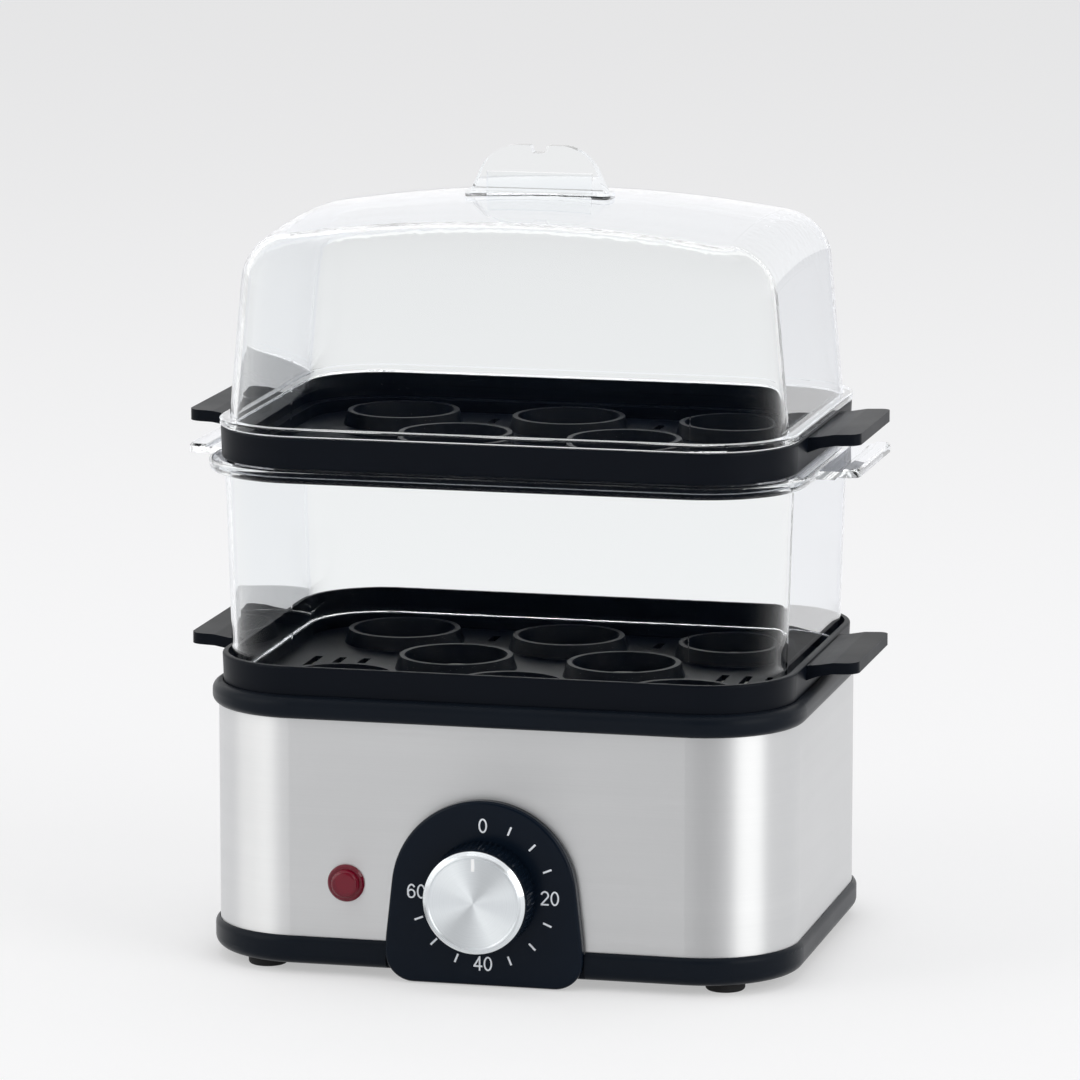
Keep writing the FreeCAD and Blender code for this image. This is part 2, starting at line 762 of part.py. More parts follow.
def heating_plate():
    body = new_body("heating_plate")
    flange = new_sketch(body, "flange_plan", offset=plate_seat)
    add_footprint(flange, "-(tray_spigot_inset + slip_gap)")
    pad(body, "flange", flange, "plate_sheet")
    dish = new_sketch(body, "dish_plan", offset=plate_seat)
    add_footprint(dish, f"-{dish_inset}")
    pad(body, "dish", dish, "plate_depth", down=True, taper="-plate_draft")
    well = new_sketch(body, "well_plan", offset=f"{plate_seat} + plate_sheet")
    add_footprint(well, f"-({dish_inset} + plate_sheet)")
    pocket(body, "well", well, "plate_depth", taper="-plate_draft")
    round_edges(body, "well_floor_edge", "plate_bend", level(plate_floor))
    round_edges(body, "dish_under_edge", "plate_bend + plate_sheet", level(f"{plate_seat} - plate_depth"))
    bead = new_sketch(body, "bead_plan", offset=plate_floor)
    add_circle(bead, "0", "0", "bead_radius")
    add_circle(bead, "0", "0", "bead_radius - bead_width")
    pad(body, "bead", bead, "plate_sheet")
    return body


def heat_spreader():
    body = new_body("heat_spreader")
    plan = new_sketch(body, "spreader_plan", offset=spreader_bottom)
    corner = f"({spreader_width} - spreader_flat) / 2"
    add_rounded_rectangle(plan, spreader_length, spreader_width, corner)
    pad(body, "spreader", plan, "spreader_height")
    stud = new_sketch(body, "stud_plan", offset=spreader_bottom)
    add_circle(stud, "0", "0", "stud_radius")
    pad(body, "stud", stud, f"{spreader_bottom} - {element_bottom} + stud_reach", down=True)
    return body


def heater_element():
    """A sheathed tube bent to a racetrack, with both ends turned down beside the rear opening."""
    r = number(element_bend)
    half = number(element_straight)
    gap = number("element_opening")
    drop = number("element_drop")
    bend = number("element_knee")
    z = number(f"{spreader_bottom} - pilot_gap - element_radius")
    diagonal = bend * math.sqrt(0.5)
    ends = []
    for side in (-1, 1):
        low = Vector(side * gap, r, z - bend - drop)
        knee = Vector(side * gap, r, z - bend)
        middle = Vector(side * (gap + bend - diagonal), r, z - bend + diagonal)
        level_point = Vector(side * (gap + bend), r, z)
        ends.append((low, knee, middle, level_point))
    left, right = ends
    edges = [
        Part.makeLine(left[0], left[1]),
        Part.Arc(left[1], left[2], left[3]).toShape(),
        Part.makeLine(left[3], Vector(-half, r, z)),
        Part.Arc(Vector(-half, r, z), Vector(-half - r, 0, z), Vector(-half, -r, z)).toShape(),
        Part.makeLine(Vector(-half, -r, z), Vector(half, -r, z)),
        Part.Arc(Vector(half, -r, z), Vector(half + r, 0, z), Vector(half, r, z)).toShape(),
        Part.makeLine(Vector(half, r, z), right[3]),
        Part.Arc(right[3], right[2], right[1]).toShape(),
        Part.makeLine(right[1], right[0]),
    ]
    path = Part.Wire(edges)
    section = Part.Wire([Part.makeCircle(number("element_radius"), left[0], Vector(0, 0, 1))])
    tube = path.makePipeShell([section], True, True)
    pins = [
        Part.makeCylinder(
            number("terminal_radius"),
            number("terminal_length"),
            Vector(side * gap, r, z - bend - drop),
            Vector(0, 0, -1),
        )
        for side in (-1, 1)
    ]
    feature = doc.addObject("Part::Feature", "heater_element")
    feature.Label = "heater_element"
    feature.Shape = tube.fuse(pins).removeSplitter()
    return feature


def plate_strap():
    """A pressed strap that bears up under the ring's ledge and is pulled tight by the stud's nut."""
    body = new_body("plate_strap")
    profile = new_sketch(body, "strap_profile", "YZ_Plane")
    reach = "(body_depth / 2 - ring_ledge_reach + 2 * nest_gap)"
    low = f"({element_bottom} - strap_sheet)"
    high = f"({ledge_top} - ring_ledge - strap_sheet)"
    half = [
        (f"{reach} + strap_sheet", low),
        (f"{reach} + strap_sheet", high),
        (f"{reach} + strap_foot", high),
        (f"{reach} + strap_foot", f"{high} + strap_sheet"),
        (reach, f"{high} + strap_sheet"),
        (reach, f"{low} + strap_sheet"),
    ]
    mirrored_half = [(f"-({y})", z) for y, z in reversed(half)]
    add_outline(profile, half + mirrored_half)
    pad(body, "strap", profile, "strap_width", both=True)
    hole = new_sketch(body, "strap_hole_plan", offset=f"{low} - overrun")
    add_circle(hole, "0", "0", "stud_radius + slip_gap")
    pocket(body, "strap_hole", hole, "strap_sheet + 2 * overrun", up=True)
    return body


def strap_nut():
    body = new_body("strap_nut")
    plan = new_sketch(body, "nut_plan", offset=f"{element_bottom} - strap_sheet")
    flat = "nut_across_flats / 2"
    corner = "nut_across_flats / sqrt(3)"
    add_outline(
        plan,
        [
            (flat, f"-{corner} / 2"),
            (flat, f"{corner} / 2"),
            ("0", corner),
            (f"-{flat}", f"{corner} / 2"),
            (f"-{flat}", f"-{corner} / 2"),
            ("0", f"-{corner}"),
        ],
    )
    add_circle(plan, "0", "0", "stud_radius + pilot_gap")
    pad(body, "nut", plan, "nut_height", down=True)
    return body


def add_blade(sketch, x):
    """The section of one flat terminal, standing across the X axis."""
    add_box(
        sketch,
        f"{x} - blade_sheet / 2",
        "-blade_width / 2",
        f"{x} + blade_sheet / 2",
        "blade_width / 2",
    )


def thermostat():
    body = new_body("thermostat", x=sensor_x, z=spreader_bottom)
    profile = new_sketch(body, "thermostat_profile", "XZ_Plane")
    add_outline(
        profile,
        [
            ("0", "0"),
            ("thermostat_radius", "0"),
            ("thermostat_radius", "-thermostat_brim"),
            ("thermostat_radius - thermostat_step", "-thermostat_brim"),
            ("thermostat_radius - thermostat_step", "-thermostat_height"),
            ("0", "-thermostat_height"),
        ],
    )
    revolve(body, "thermostat_can", profile)
    blades = new_sketch(body, "blade_plan", offset="-thermostat_height")
    for side in ("-", ""):
        add_blade(blades, f"{side}thermostat_radius / 2")
    pad(body, "blades", blades, "blade_length", down=True)
    return body


def thermal_fuse():
    height = f"{spreader_bottom} - pilot_gap - fuse_radius"
    body = new_body("thermal_fuse", x=f"-{sensor_x}", z=height)
    section = new_sketch(body, "fuse_section", "XZ_Plane")
    add_circle(section, "0", "0", "fuse_radius")
    pad(body, "fuse_can", section, "fuse_length", both=True)
    leads = new_sketch(body, "lead_section", "XZ_Plane")
    add_circle(leads, "0", "0", "lead_radius")
    reach = f"({element_bend} - element_radius - fuse_lead_gap)"
    pad(body, "fuse_leads", leads, f"2 * {reach}", both=True)
    return body


# ---------------------------------------------------------------- trays


END_DRAINS = 3


def add_slot(sketch, x, y, length):
    """A drain slot through the floor, as long as stated from front to back."""
    add_box(
        sketch,
        f"{x} - drain_width / 2",
        f"{y} - {length} / 2",
        f"{x} + drain_width / 2",
        f"{y} + {length} / 2",
    )


def cup_centres():
    """Three cups in front, two between and three behind, as expressions."""
    centres = []
    for row, count in ((-1, 3), (0, 2), (1, 3)):
        y = "0" if row == 0 else f"{row} * {cup_row_pitch}"
        for index in range(count):
            place = index - (count - 1) / 2
            x = "0" if place == 0 else f"{place} * {cup_pitch}"
            centres.append((x, y))
    return centres


def add_wings(body, label, rim_top):
    """The tray's handles: a gull-wing plate each side, deeper at its root and hollow beneath."""
    root_x = "(body_width / 2 - tray_inset - tray_rim_wall / 2)"
    dip_x = f"({root_x} + handle_dip)"
    rise_x = f"({root_x} + handle_climb)"
    crest = f"({rim_top} + handle_rise)"
    knee = f"({crest} - handle_slope)"
    trough = f"({rim_top} - handle_rise + handle_slope)"
    half = [
        (root_x, f"{rim_top} - handle_drop"),
        (root_x, f"{rim_top} - handle_drop - handle_edge - handle_gusset"),
        (dip_x, f"{trough} - handle_edge"),
        (rise_x, f"{knee} - handle_edge"),
        (handle_reach, f"{crest} - handle_edge"),
        (handle_reach, crest),
        (rise_x, knee),
        (dip_x, trough),
    ]
    wings = new_sketch(body, f"{label}_wing_profile", "XZ_Plane")
    add_outline(wings, half)
    add_outline(wings, [(f"-{x}", z) for x, z in half])
    pad(body, f"{label}_wings", wings, "handle_width", both=True)
    tip = number(handle_reach)
    side = number("handle_width / 2")
    round_edges(
        body,
        f"{label}_wing_corners",
        "handle_corner",
        lambda edge: abs(abs(edge.BoundBox.Center.x) - tip) < 0.01
        and edge.BoundBox.XLength < 0.01
        and abs(abs(edge.BoundBox.Center.y) - side) < 0.01,
    )
    bends = [number(dip_x), number(rise_x)]
    round_edges(
        body,
        f"{label}_wing_bends",
        "handle_bend",
        lambda edge: edge.BoundBox.YLength > side
        and edge.BoundBox.XLength < 0.01
        and min(abs(abs(edge.BoundBox.Center.x) - bend) for bend in bends) < 0.05,
    )
    hollow = new_sketch(body, f"{label}_wing_hollow_plan", offset=f"{knee} - handle_skin")
    for sign in ("", "-"):
        add_box(
            hollow,
            f"{sign}{rise_x}",
            "-(handle_width / 2 - handle_skin)",
            f"{sign}({handle_reach} - handle_skin)",
            "handle_width / 2 - handle_skin",
        )
    pocket(body, f"{label}_wing_hollow", hollow, "handle_edge + overrun")


def tray(label, shoulder):
    body = new_body(label)
    rim_top = f"({shoulder} + tray_rim_height)"
    web_top = f"({shoulder} + tray_web)"
    floor_bottom = f"({shoulder} - tray_well_depth)"
    floor = f"({floor_bottom} + tray_wall)"
    narrowing = "tray_rim_height * tan(tray_draft)"

    rim = new_sketch(body, f"{label}_rim_plan", offset=shoulder)
    add_footprint(rim, f"-(tray_inset + {narrowing})")
    pad(body, f"{label}_rim_block", rim, "tray_rim_height", taper="tray_draft")
    spigot = new_sketch(body, f"{label}_spigot_plan", offset=shoulder)
    add_footprint(spigot, "-tray_spigot_inset")
    pad(body, f"{label}_spigot", spigot, "tray_well_depth", down=True)
    round_edges(body, f"{label}_spigot_edge", "tray_foot_round", level(floor_bottom))
    round_edges(body, f"{label}_shoulder_edge", "tray_shoulder_round", outside(level(shoulder), throat))
    round_edges(body, f"{label}_rim_edge", "tray_rim_round", level(rim_top))
    add_wings(body, label, rim_top)

    # The well and the step inside the rim that the clear tier or the lid locates in
    step = new_sketch(body, f"{label}_step_plan", offset=rim_top)
    add_footprint(step, "-(tray_inset + tray_rim_wall)")
    pocket(body, f"{label}_step", step, "tray_rim_height - tray_web")
    well = new_sketch(body, f"{label}_well_plan", offset=web_top)
    add_footprint(well, "-(tray_spigot_inset + tray_wall)")
    pocket(body, f"{label}_well", well, f"{web_top} - {floor}")

    # Egg cups: tapered collars with a tapered seat through the floor
    collars = new_sketch(body, f"{label}_collar_plan", offset=floor)
    seats = new_sketch(body, f"{label}_seat_plan", offset=f"{floor} + cup_height")
    slots = new_sketch(body, f"{label}_drain_plan", offset=floor)
    for x, y in cup_centres():
        add_circle(collars, x, y, cup_foot)
        add_circle(seats, x, y, "cup_radius")
    pad(body, f"{label}_collars", collars, "cup_height", taper="-cup_draft")
    pocket(body, f"{label}_seats", seats, "cup_height + tray_wall", taper="-cup_draft / 2")
    for row in (-1, 1):
        for place in (-0.5, 0.5):
            y = f"{row} * ({cup_row_pitch} + cup_radius - drain_length + drain_width)"
            add_slot(slots, f"{place} * {cup_pitch}", y, "drain_length")
    for side in (-1, 1):
        for index in range(END_DRAINS):
            x = f"{side} * ({cup_pitch} + {index + 0.5} * drain_pitch)"
            add_slot(slots, x, "0", "end_drain_length")
    pocket(body, f"{label}_drains", slots, "tray_wall")
    return body


# ---------------------------------------------------------------- clear tier and lid


def steam_box():
    """A bottomless clear box with a draft, a guttered flange on top and two ribbed ears."""
    body = new_body("steam_box")
    flange_bottom = f"({box_top} - box_flange)"
    plan = new_sketch(body, "box_wall_plan", offset=box_bottom)
    add_footprint(plan, f"-{box_foot_inset}")
    pad(body, "box_walls", plan, "box_height - box_flange", taper="box_draft")
    round_edges(body, "box_foot_edge", "box_foot_round", level(box_bottom))
    flange = new_sketch(body, "box_flange_plan", offset=flange_bottom)
    add_footprint(flange, "box_flange_bulge")
    pad(body, "box_flange_block", flange, "box_flange")
    round_edges(
        body,
        "box_flange_under_edge",
        "box_flange_under_round",
        outside(level(flange_bottom), "-box_flange_bulge / 2"),
    )
    round_edges(body, "box_flange_upper_edge", "box_flange_upper_round", level(box_top))
    ears = new_sketch(body, "ear_profile", "XZ_Plane")
    root_x = "(body_width / 2)"
    step_x = f"(({root_x} + {handle_reach}) / 2)"
    sill_x = f"({step_x} + ear_sill)"
    underside = f"({box_top} - ear_height)"
    half = [
        (root_x, underside),
        (step_x, underside),
        (f"{step_x} + ear_step", f"{underside} + ear_step"),
        (handle_reach, f"{underside} + ear_step"),
        (handle_reach, box_top),
        (f"{sill_x} + ear_step", box_top),
        (sill_x, f"{box_top} - ear_step"),
        (root_x, f"{box_top} - ear_step"),
    ]
    add_outline(ears, half)
    add_outline(ears, [(f"-{x}", z) for x, z in half])
    pad(body, "ears", ears, "ear_width", both=True)
    tip = number(handle_reach)
    round_edges(
        body,
        "ear_corners",
        "handle_corner",
        lambda edge: abs(abs(edge.BoundBox.Center.x) - tip) < 0.01
        and edge.BoundBox.XLength < 0.01
        and edge.BoundBox.YLength < 0.01,
    )
    sill = number(f"{sill_x} + 2 * ear_step")
    top = level(box_top)
    round_edges(
        body,
        "ear_borders",
        "ear_edge",
        lambda edge: top(edge) and abs(edge.BoundBox.Center.x) > sill,
        kind="Chamfer",
    )
    gutter = new_sketch(body, "gutter_plan", offset=box_top)
    add_footprint(gutter, "-box_land_inset + gutter_width")
    add_footprint(gutter, "-box_land_inset")
    pocket(body, "gutter", gutter, "gutter_depth")
    inside = new_sketch(body, "box_inside_plan", offset=box_bottom)
    add_footprint(inside, f"-({box_foot_inset} + box_wall)")
    pocket(body, "box_inside", inside, "box_height + overrun", taper="box_draft", up=True)
    return body


def dome_cut(body, name, drop):
    """Cuts a body's top to a shallow dome, rounder front to back than side to side."""
    sketch = new_sketch(body, f"{name}_profile", "YZ_Plane")
    crown = f"({lid_top} - {drop})"
    reach = "(body_depth / 2)"
    side = f"({crown} - dome_radius_deep + sqrt(dome_radius_deep ^ 2 - {reach} ^ 2))"
    radius = number("dome_radius_deep")
    half, low, high = number(reach), number(side), number(crown)
    centre = Vector(0, high - radius, 0)
    arc = Part.Arc(Vector(half, low, 0), Vector(0, high, 0), Vector(-half, low, 0))
    curve = sketch.addGeometry(arc, False)
    above = f"({lid_top} + lid_height / 2)"
    ceiling = number(above)
    places = [
        Vector(-half, low, 0),
        Vector(-half, ceiling, 0),
        Vector(half, ceiling, 0),
        Vector(half, low, 0),
    ]
    lines = [
        sketch.addGeometry(Part.LineSegment(start, end), False)
        for start, end in zip(places, places[1:])
    ]
    sketch.addConstraint(Sketcher.Constraint("Coincident", curve, 2, lines[0], 1))
    sketch.addConstraint(Sketcher.Constraint("Coincident", lines[0], 2, lines[1], 1))
    sketch.addConstraint(Sketcher.Constraint("Coincident", lines[1], 2, lines[2], 1))
    sketch.addConstraint(Sketcher.Constraint("Coincident", lines[2], 2, curve, 1))
    fix_point(sketch, lines[0], 1, f"-{reach}", side)
    fix_point(sketch, lines[0], 2, f"-{reach}", above)
    fix_point(sketch, lines[1], 2, reach, above)
    fix_point(sketch, lines[2], 2, reach, side)
    dimension(sketch, "Radius", curve, "dome_radius_deep")
    axis_height = number(f"{crown} - dome_radius_across")
    axis = Part.LineSegment(Vector(-half, axis_height, 0), Vector(half, axis_height, 0))
    line = sketch.addGeometry(axis, True)
    fix_point(sketch, line, 1, f"-{reach}", f"{crown} - dome_radius_across")
    fix_point(sketch, line, 2, reach, f"{crown} - dome_radius_across")
    before = body.Shape.Volume
    groove = body.newObject("PartDesign::Groove", name)
    groove.Profile = sketch
    groove.ReferenceAxis = (sketch, ["Axis0"])
    groove.Midplane = True
    bind(groove, "Angle", "dome_sweep")
    doc.recompute()
    if not before - body.Shape.Volume > 1e-3:
        raise ValueError(f"{body.Label}: {name} cuts nothing")
    return groove


def lid_form(label, inset, bottom, drop, edge_radius):
    """The lid's drafted and domed form: made once for the outside and once for the inside."""
    body = new_body(label)
    rise = f"({lid_top} - {bottom} + overrun)"
    plan = new_sketch(body, f"{label}_plan", offset=bottom)
    add_footprint(plan, f"-({inset})")
    pad(body, f"{label}_block", plan, rise, taper="-lid_draft")
    dome_cut(body, f"{label}_dome", drop)
    brow = number(f"{lid_top} - lid_height / 2")
    round_edges(
        body,
        f"{label}_brow",
        edge_radius,
        lambda edge: edge.BoundBox.ZMin > brow and edge.BoundBox.DiagonalLength > 1,
    )
    return body


def lid():
    outer = lid_form("lid_outer", "lid_wall_inset", lid_bottom, "0", "lid_edge_radius")
    flange = new_sketch(outer, "lid_flange_plan", offset=lid_bottom)
    add_footprint(flange, "-lid_inset")
    pad(outer, "lid_flange_block", flange, "lid_flange")
    round_edges(
        outer,
        "lid_flange_edges",
        "lid_flange_round",
        lambda edge: (level(lid_bottom)(edge) or level(f"{lid_bottom} + lid_flange")(edge))
        and outside(lambda any_edge: True, "lid_inset + lid_flange_round")(edge),
    )
    skirt = new_sketch(outer, "lid_skirt_plan", offset=lid_bottom)
    add_footprint(skirt, f"-{lid_skirt_inset}")
    pad(outer, "lid_skirt", skirt, "lid_skirt_height", down=True, taper="-lid_draft")
    add_fin(outer)
    return outer


def add_fin(body):
    """The fin that the lid is lifted by: a tapered, round-shouldered blade, notched, on a plinth."""
    root = f"({lid_top} - lid_wall)"
    foot = f"({lid_top} + plinth_rise)"
    crest = f"({lid_top} + fin_height)"
    plinth = new_sketch(body, "plinth_plan", offset=root)
    add_rounded_rectangle(
        plinth,
        "2 * (fin_half_width + plinth_reach)",
        "fin_base + 2 * plinth_reach",
        "plinth_corner",
    )
    pad(body, "plinth", plinth, f"{foot} - {root}")
    blade = new_sketch(body, "fin_profile", "XZ_Plane")
    shoulder_x = "(fin_half_width - fin_lean)"
    notch_x = "(notch_half_width - notch_flare)"
    half = [
        ("fin_half_width", root),
        ("fin_half_width", foot),
        (shoulder_x, crest),
        ("notch_half_width", crest),
        (notch_x, f"{crest} - notch_depth"),
    ]
    add_outline(blade, half + [(f"-{x}", z) for x, z in reversed(half)])
    pad(body, "fin_blade", blade, "fin_base", both=True)
    corner = number(shoulder_x)
    top = number(crest)
    round_edges(
        body,
        "fin_shoulders",
        "fin_round",
        lambda edge: abs(abs(edge.BoundBox.Center.x) - corner) < 0.01
        and abs(edge.BoundBox.Center.z - top) < 0.01,
    )
    notch = number("notch_half_width")
    round_edges(
        body,
        "notch_corners",
        "notch_round",
        lambda edge: abs(edge.BoundBox.Center.x) < notch + 0.01
        and edge.BoundBox.XLength < 0.01
        and edge.BoundBox.ZLength < 0.01
        and edge.BoundBox.Center.z > top - notch,
    )
    flanks = new_sketch(body, "fin_flanks", "YZ_Plane")
    half = [
        ("fin_base / 2", foot),
        ("fin_base / 2 + overrun", foot),
        ("fin_base / 2 + overrun", f"{crest} + overrun"),
        ("fin_tip / 2", f"{crest} + overrun"),
    ]
    add_outline(flanks, half)
    add_outline(flanks, [(f"-({y})", z) for y, z in half])
    pocket(body, "fin_taper", flanks, "2 * (fin_half_width + overrun)", both=True)


def lid_shell():
    outer = lid()
    start = f"({lid_bottom} - lid_skirt_height - overrun)"
    inset = "(lid_wall_inset + lid_wall - (lid_skirt_height + overrun) * tan(lid_draft))"
    inner = lid_form("lid_inner", inset, start, "lid_wall", "lid_edge_radius - lid_wall")
    core = new_sketch(inner, "fin_core_plan", offset=f"{lid_top} - 2 * lid_wall")
    core_x = "(fin_half_width - fin_lean / 2 - fin_skin)"
    core_y = "((fin_base + fin_tip) / 4 - fin_skin)"
    add_box(core, f"-{core_x}", f"-{core_y}", core_x, core_y)
    pad(inner, "fin_core", core, "2 * lid_wall + fin_core_rise")
    shell = doc.addObject("Part::Cut", "lid")
    shell.Base = outer
    shell.Tool = inner
    shell.Label = "lid"
    doc.recompute()
    return shell


# ---------------------------------------------------------------- dial plate, knob and timer


def dial_plate():
    body = new_body("dial_plate")
    plan = new_sketch(body, "dial_plan", "XZ_Plane", offset=plate_back)
    add_dial_outline(plan, "0", "dial_bottom")
    pad(body, "dial_sheet_pad", plan, "dial_sheet")
    side = number("dial_radius + dial_flare")
    low = number("dial_bottom")
    round_edges(
        body,
        "dial_foot_corners",
        "dial_corner",
        lambda edge: abs(abs(edge.BoundBox.Center.x) - side) < 0.01
        and edge.BoundBox.ZLength < 0.01
        and abs(edge.BoundBox.Center.z - low) < 0.01,
    )
    kink = number("dial_foot_height")
    round_edges(
        body,
        "dial_flare_bends",
        "dial_flare_round",
        lambda edge: abs(abs(edge.BoundBox.Center.x) - side) < 0.01
        and edge.BoundBox.ZLength < 0.01
        and abs(edge.BoundBox.Center.z - kink) < 0.01,
    )
    front = -number(dial_face)
    round_edges(body, "dial_edge", "dial_bevel", lambda edge: abs(edge.BoundBox.YMax - front) < 0.01)
    spigot = new_sketch(body, "dial_spigot_plan", "XZ_Plane", offset=plate_back)
    add_circle(spigot, "0", "dial_height", "dial_spigot_radius")
    add_circle(spigot, "0", "dial_height", "dial_spigot_radius - dial_spigot_wall")
    pad(body, "dial_spigot", spigot, f"{plate_back} - {timer_front}", down=True)
    holes = new_sketch(body, "dial_holes_plan", "XZ_Plane", offset=dial_face)
    add_circle(holes, "0", "dial_height", "shaft_radius + slip_gap")
    sinks = new_sketch(body, "dial_sinks_plan", "XZ_Plane", offset=dial_face)
    for sign in ("", "-"):
        x = f"{sign}{timer_screw_x}"
        add_circle(holes, x, "dial_height", "screw_radius + shank_gap")
        add_circle(sinks, x, "dial_height", "screw_head_radius + slip_gap")
    pocket(body, "dial_holes", holes, "dial_sheet + overrun")
    pocket(body, "dial_sinks", sinks, "screw_head_height")
    return body


def timer_screws():
    body = new_body("timer_screws", z="dial_height", turn="front")
    seat = f"({dial_face} - screw_head_height)"
    shanks = new_sketch(body, "timer_shank_plan", offset=seat)
    heads = new_sketch(body, "timer_head_plan", offset=seat)
    for sign in ("", "-"):
        add_circle(shanks, f"{sign}{timer_screw_x}", "0", "screw_radius")
        add_circle(heads, f"{sign}{timer_screw_x}", "0", "screw_head_radius")
    pad(body, "timer_shanks", shanks, "timer_screw_length", down=True)
    pad(body, "timer_heads", heads, "screw_head_height - seat_gap")
    return body


def timer_body():
    body = new_body("timer_body", z="dial_height", turn="front")
    case = new_sketch(body, "timer_case_plan", offset=timer_back)
    add_rounded_rectangle(case, "timer_width", "timer_height", "timer_corner")
    pad(body, "timer_case", case, "timer_depth")
    bosses = new_sketch(body, "timer_boss_plan", offset=timer_front)
    add_circle(bosses, "0", "0", "shaft_radius + timer_boss_wall")
    for sign in ("", "-"):
        add_circle(bosses, f"{sign}{timer_screw_x}", "0", "screw_head_radius - slip_gap")
    pad(body, "timer_bosses", bosses, f"{plate_back} - {timer_front}")
    post = new_sketch(body, "bell_post_plan", offset=timer_back)
    add_circle(post, "0", "0", "bell_post_radius")
    pad(body, "bell_post", post, "bell_depth - bell_sheet", down=True)
    bore = new_sketch(body, "timer_bore_plan", offset=plate_back)
    add_circle(bore, "0", "0", "shaft_radius + shaft_gap")
    pocket(body, "timer_bore", bore, f"{plate_back} - {timer_front} + timer_bore_depth")
    pilots = new_sketch(body, "timer_pilot_plan", offset=plate_back)
    for sign in ("", "-"):
        add_circle(pilots, f"{sign}{timer_screw_x}", "0", "screw_radius + pilot_gap")
    pocket(body, "timer_pilots", pilots, "timer_screw_length")
    blades = new_sketch(body, "timer_blade_plan", offset=timer_back)
    for sign in ("", "-"):
        add_blade(blades, f"{sign}(timer_width / 2 - blade_inset)")
    pad(body, "timer_blades", blades, "blade_length", down=True)
    return body


def timer_bell():
    low = f"({timer_back} - bell_depth)"
    mouth = f"({timer_back} - bell_sheet)"
    body = turned_part(
        "timer_bell",
        [
            ("0", low),
            ("bell_radius", low),
            ("bell_radius", mouth),
            ("bell_radius - bell_sheet", mouth),
            ("bell_radius - bell_sheet", f"{low} + bell_sheet"),
            ("0", f"{low} + bell_sheet"),
        ],
        z="dial_height",
        turn="front",
    )
    round_edges(body, "bell_crown", "bell_round", level(low))
    round_edges(body, "bell_inside", "bell_round - bell_sheet", level(f"{low} + bell_sheet"))
    return body


FLUTES = 60

knob_back = f"({dial_face} + knob_gap)"
knob_shoulder = f"({knob_back} + knob_depth)"
knob_face = f"({knob_shoulder} + cap_depth)"
knob_core = f"({cap_radius} - cap_bevel - core_margin)"


def timer_knob():
    bore = "(shaft_radius + shaft_gap)"
    hub = "(shaft_radius + knob_hub_wall)"
    rim = "(knob_radius - knob_wall)"
    pocket_top = f"({knob_shoulder} - knob_wall)"
    body = turned_part(
        "timer_knob",
        [
            (bore, knob_back),
            (hub, knob_back),
            (hub, pocket_top),
            (rim, pocket_top),
            (rim, knob_back),
            ("knob_radius", knob_back),
            ("knob_radius - knob_taper", knob_shoulder),
            (knob_core, knob_shoulder),
            (knob_core, f"{knob_face} - cap_sheet - pilot_gap"),
            ("0", f"{knob_face} - cap_sheet - pilot_gap"),
            ("0", knob_shoulder),
            (bore, knob_shoulder),
        ],
        z="dial_height",
        turn="front",
    )
    key = new_sketch(body, "key_plan", offset=knob_back)
    add_box(key, "-shaft_radius", "shaft_flat + shaft_gap", "shaft_radius", "shaft_radius + key_bite")
    pad(body, "key", key, "knob_depth")
    flute = new_sketch(body, "flute_plan", offset=knob_back)
    add_circle(flute, "0", "knob_radius", "flute_radius")
    groove = pocket(body, "flute", flute, "knob_depth", up=True)
    pattern = body.newObject("PartDesign::PolarPattern", "flutes")
    pattern.Originals = [groove]
    pattern.Axis = (flute, ["N_Axis"])
    pattern.Angle = 360
    pattern.Occurrences = FLUTES
    body.Tip = pattern
    doc.recompute()
    return body


def knob_cap():
    return turned_part(
        "knob_cap",
        [
            ("0", f"{knob_face} - cap_sheet"),
            (f"{knob_core} + pilot_gap", f"{knob_face} - cap_sheet"),
            (f"{knob_core} + pilot_gap", f"{knob_shoulder} + pilot_gap"),
            (cap_radius, f"{knob_shoulder} + pilot_gap"),
            (cap_radius, f"{knob_face} - cap_bevel"),
            (f"{cap_radius} - cap_bevel", knob_face),
            (f"{cap_radius} - cap_bevel - cap_rim", knob_face),
            (f"{cap_radius} - cap_bevel - cap_rim - cap_dish", f"{knob_face} - cap_dish"),
            ("0", f"{knob_face} - cap_dish"),
        ],
        z="dial_height",
        turn="front",
    )


def timer_shaft():
    """The shaft is round where it turns in the timer and flat on one side inside the knob."""
    low = f"({timer_front} - timer_bore_depth + seat_gap)"
    high = f"({knob_shoulder} - seat_gap)"
    body = turned_part(
        "timer_shaft",
        [("0", low), ("shaft_radius", low), ("shaft_radius", high), ("0", high)],
        z="dial_height",
        turn="front",
    )
    ends = (level(low), level(high))
    round_edges(
        body,
        "shaft_ends",
        "shaft_chamfer",
        lambda edge: any(end(edge) for end in ends),
        kind="Chamfer",
    )
    flat = new_sketch(body, "flat_plan", offset=f"{high} + overrun")
    add_box(flat, "-shaft_radius", "shaft_flat", "shaft_radius", "shaft_radius + overrun")
    pocket(body, "shaft_flat_cut", flat, f"{high} + overrun - {knob_back} + seat_gap")
    return body


# ---------------------------------------------------------------- lamp


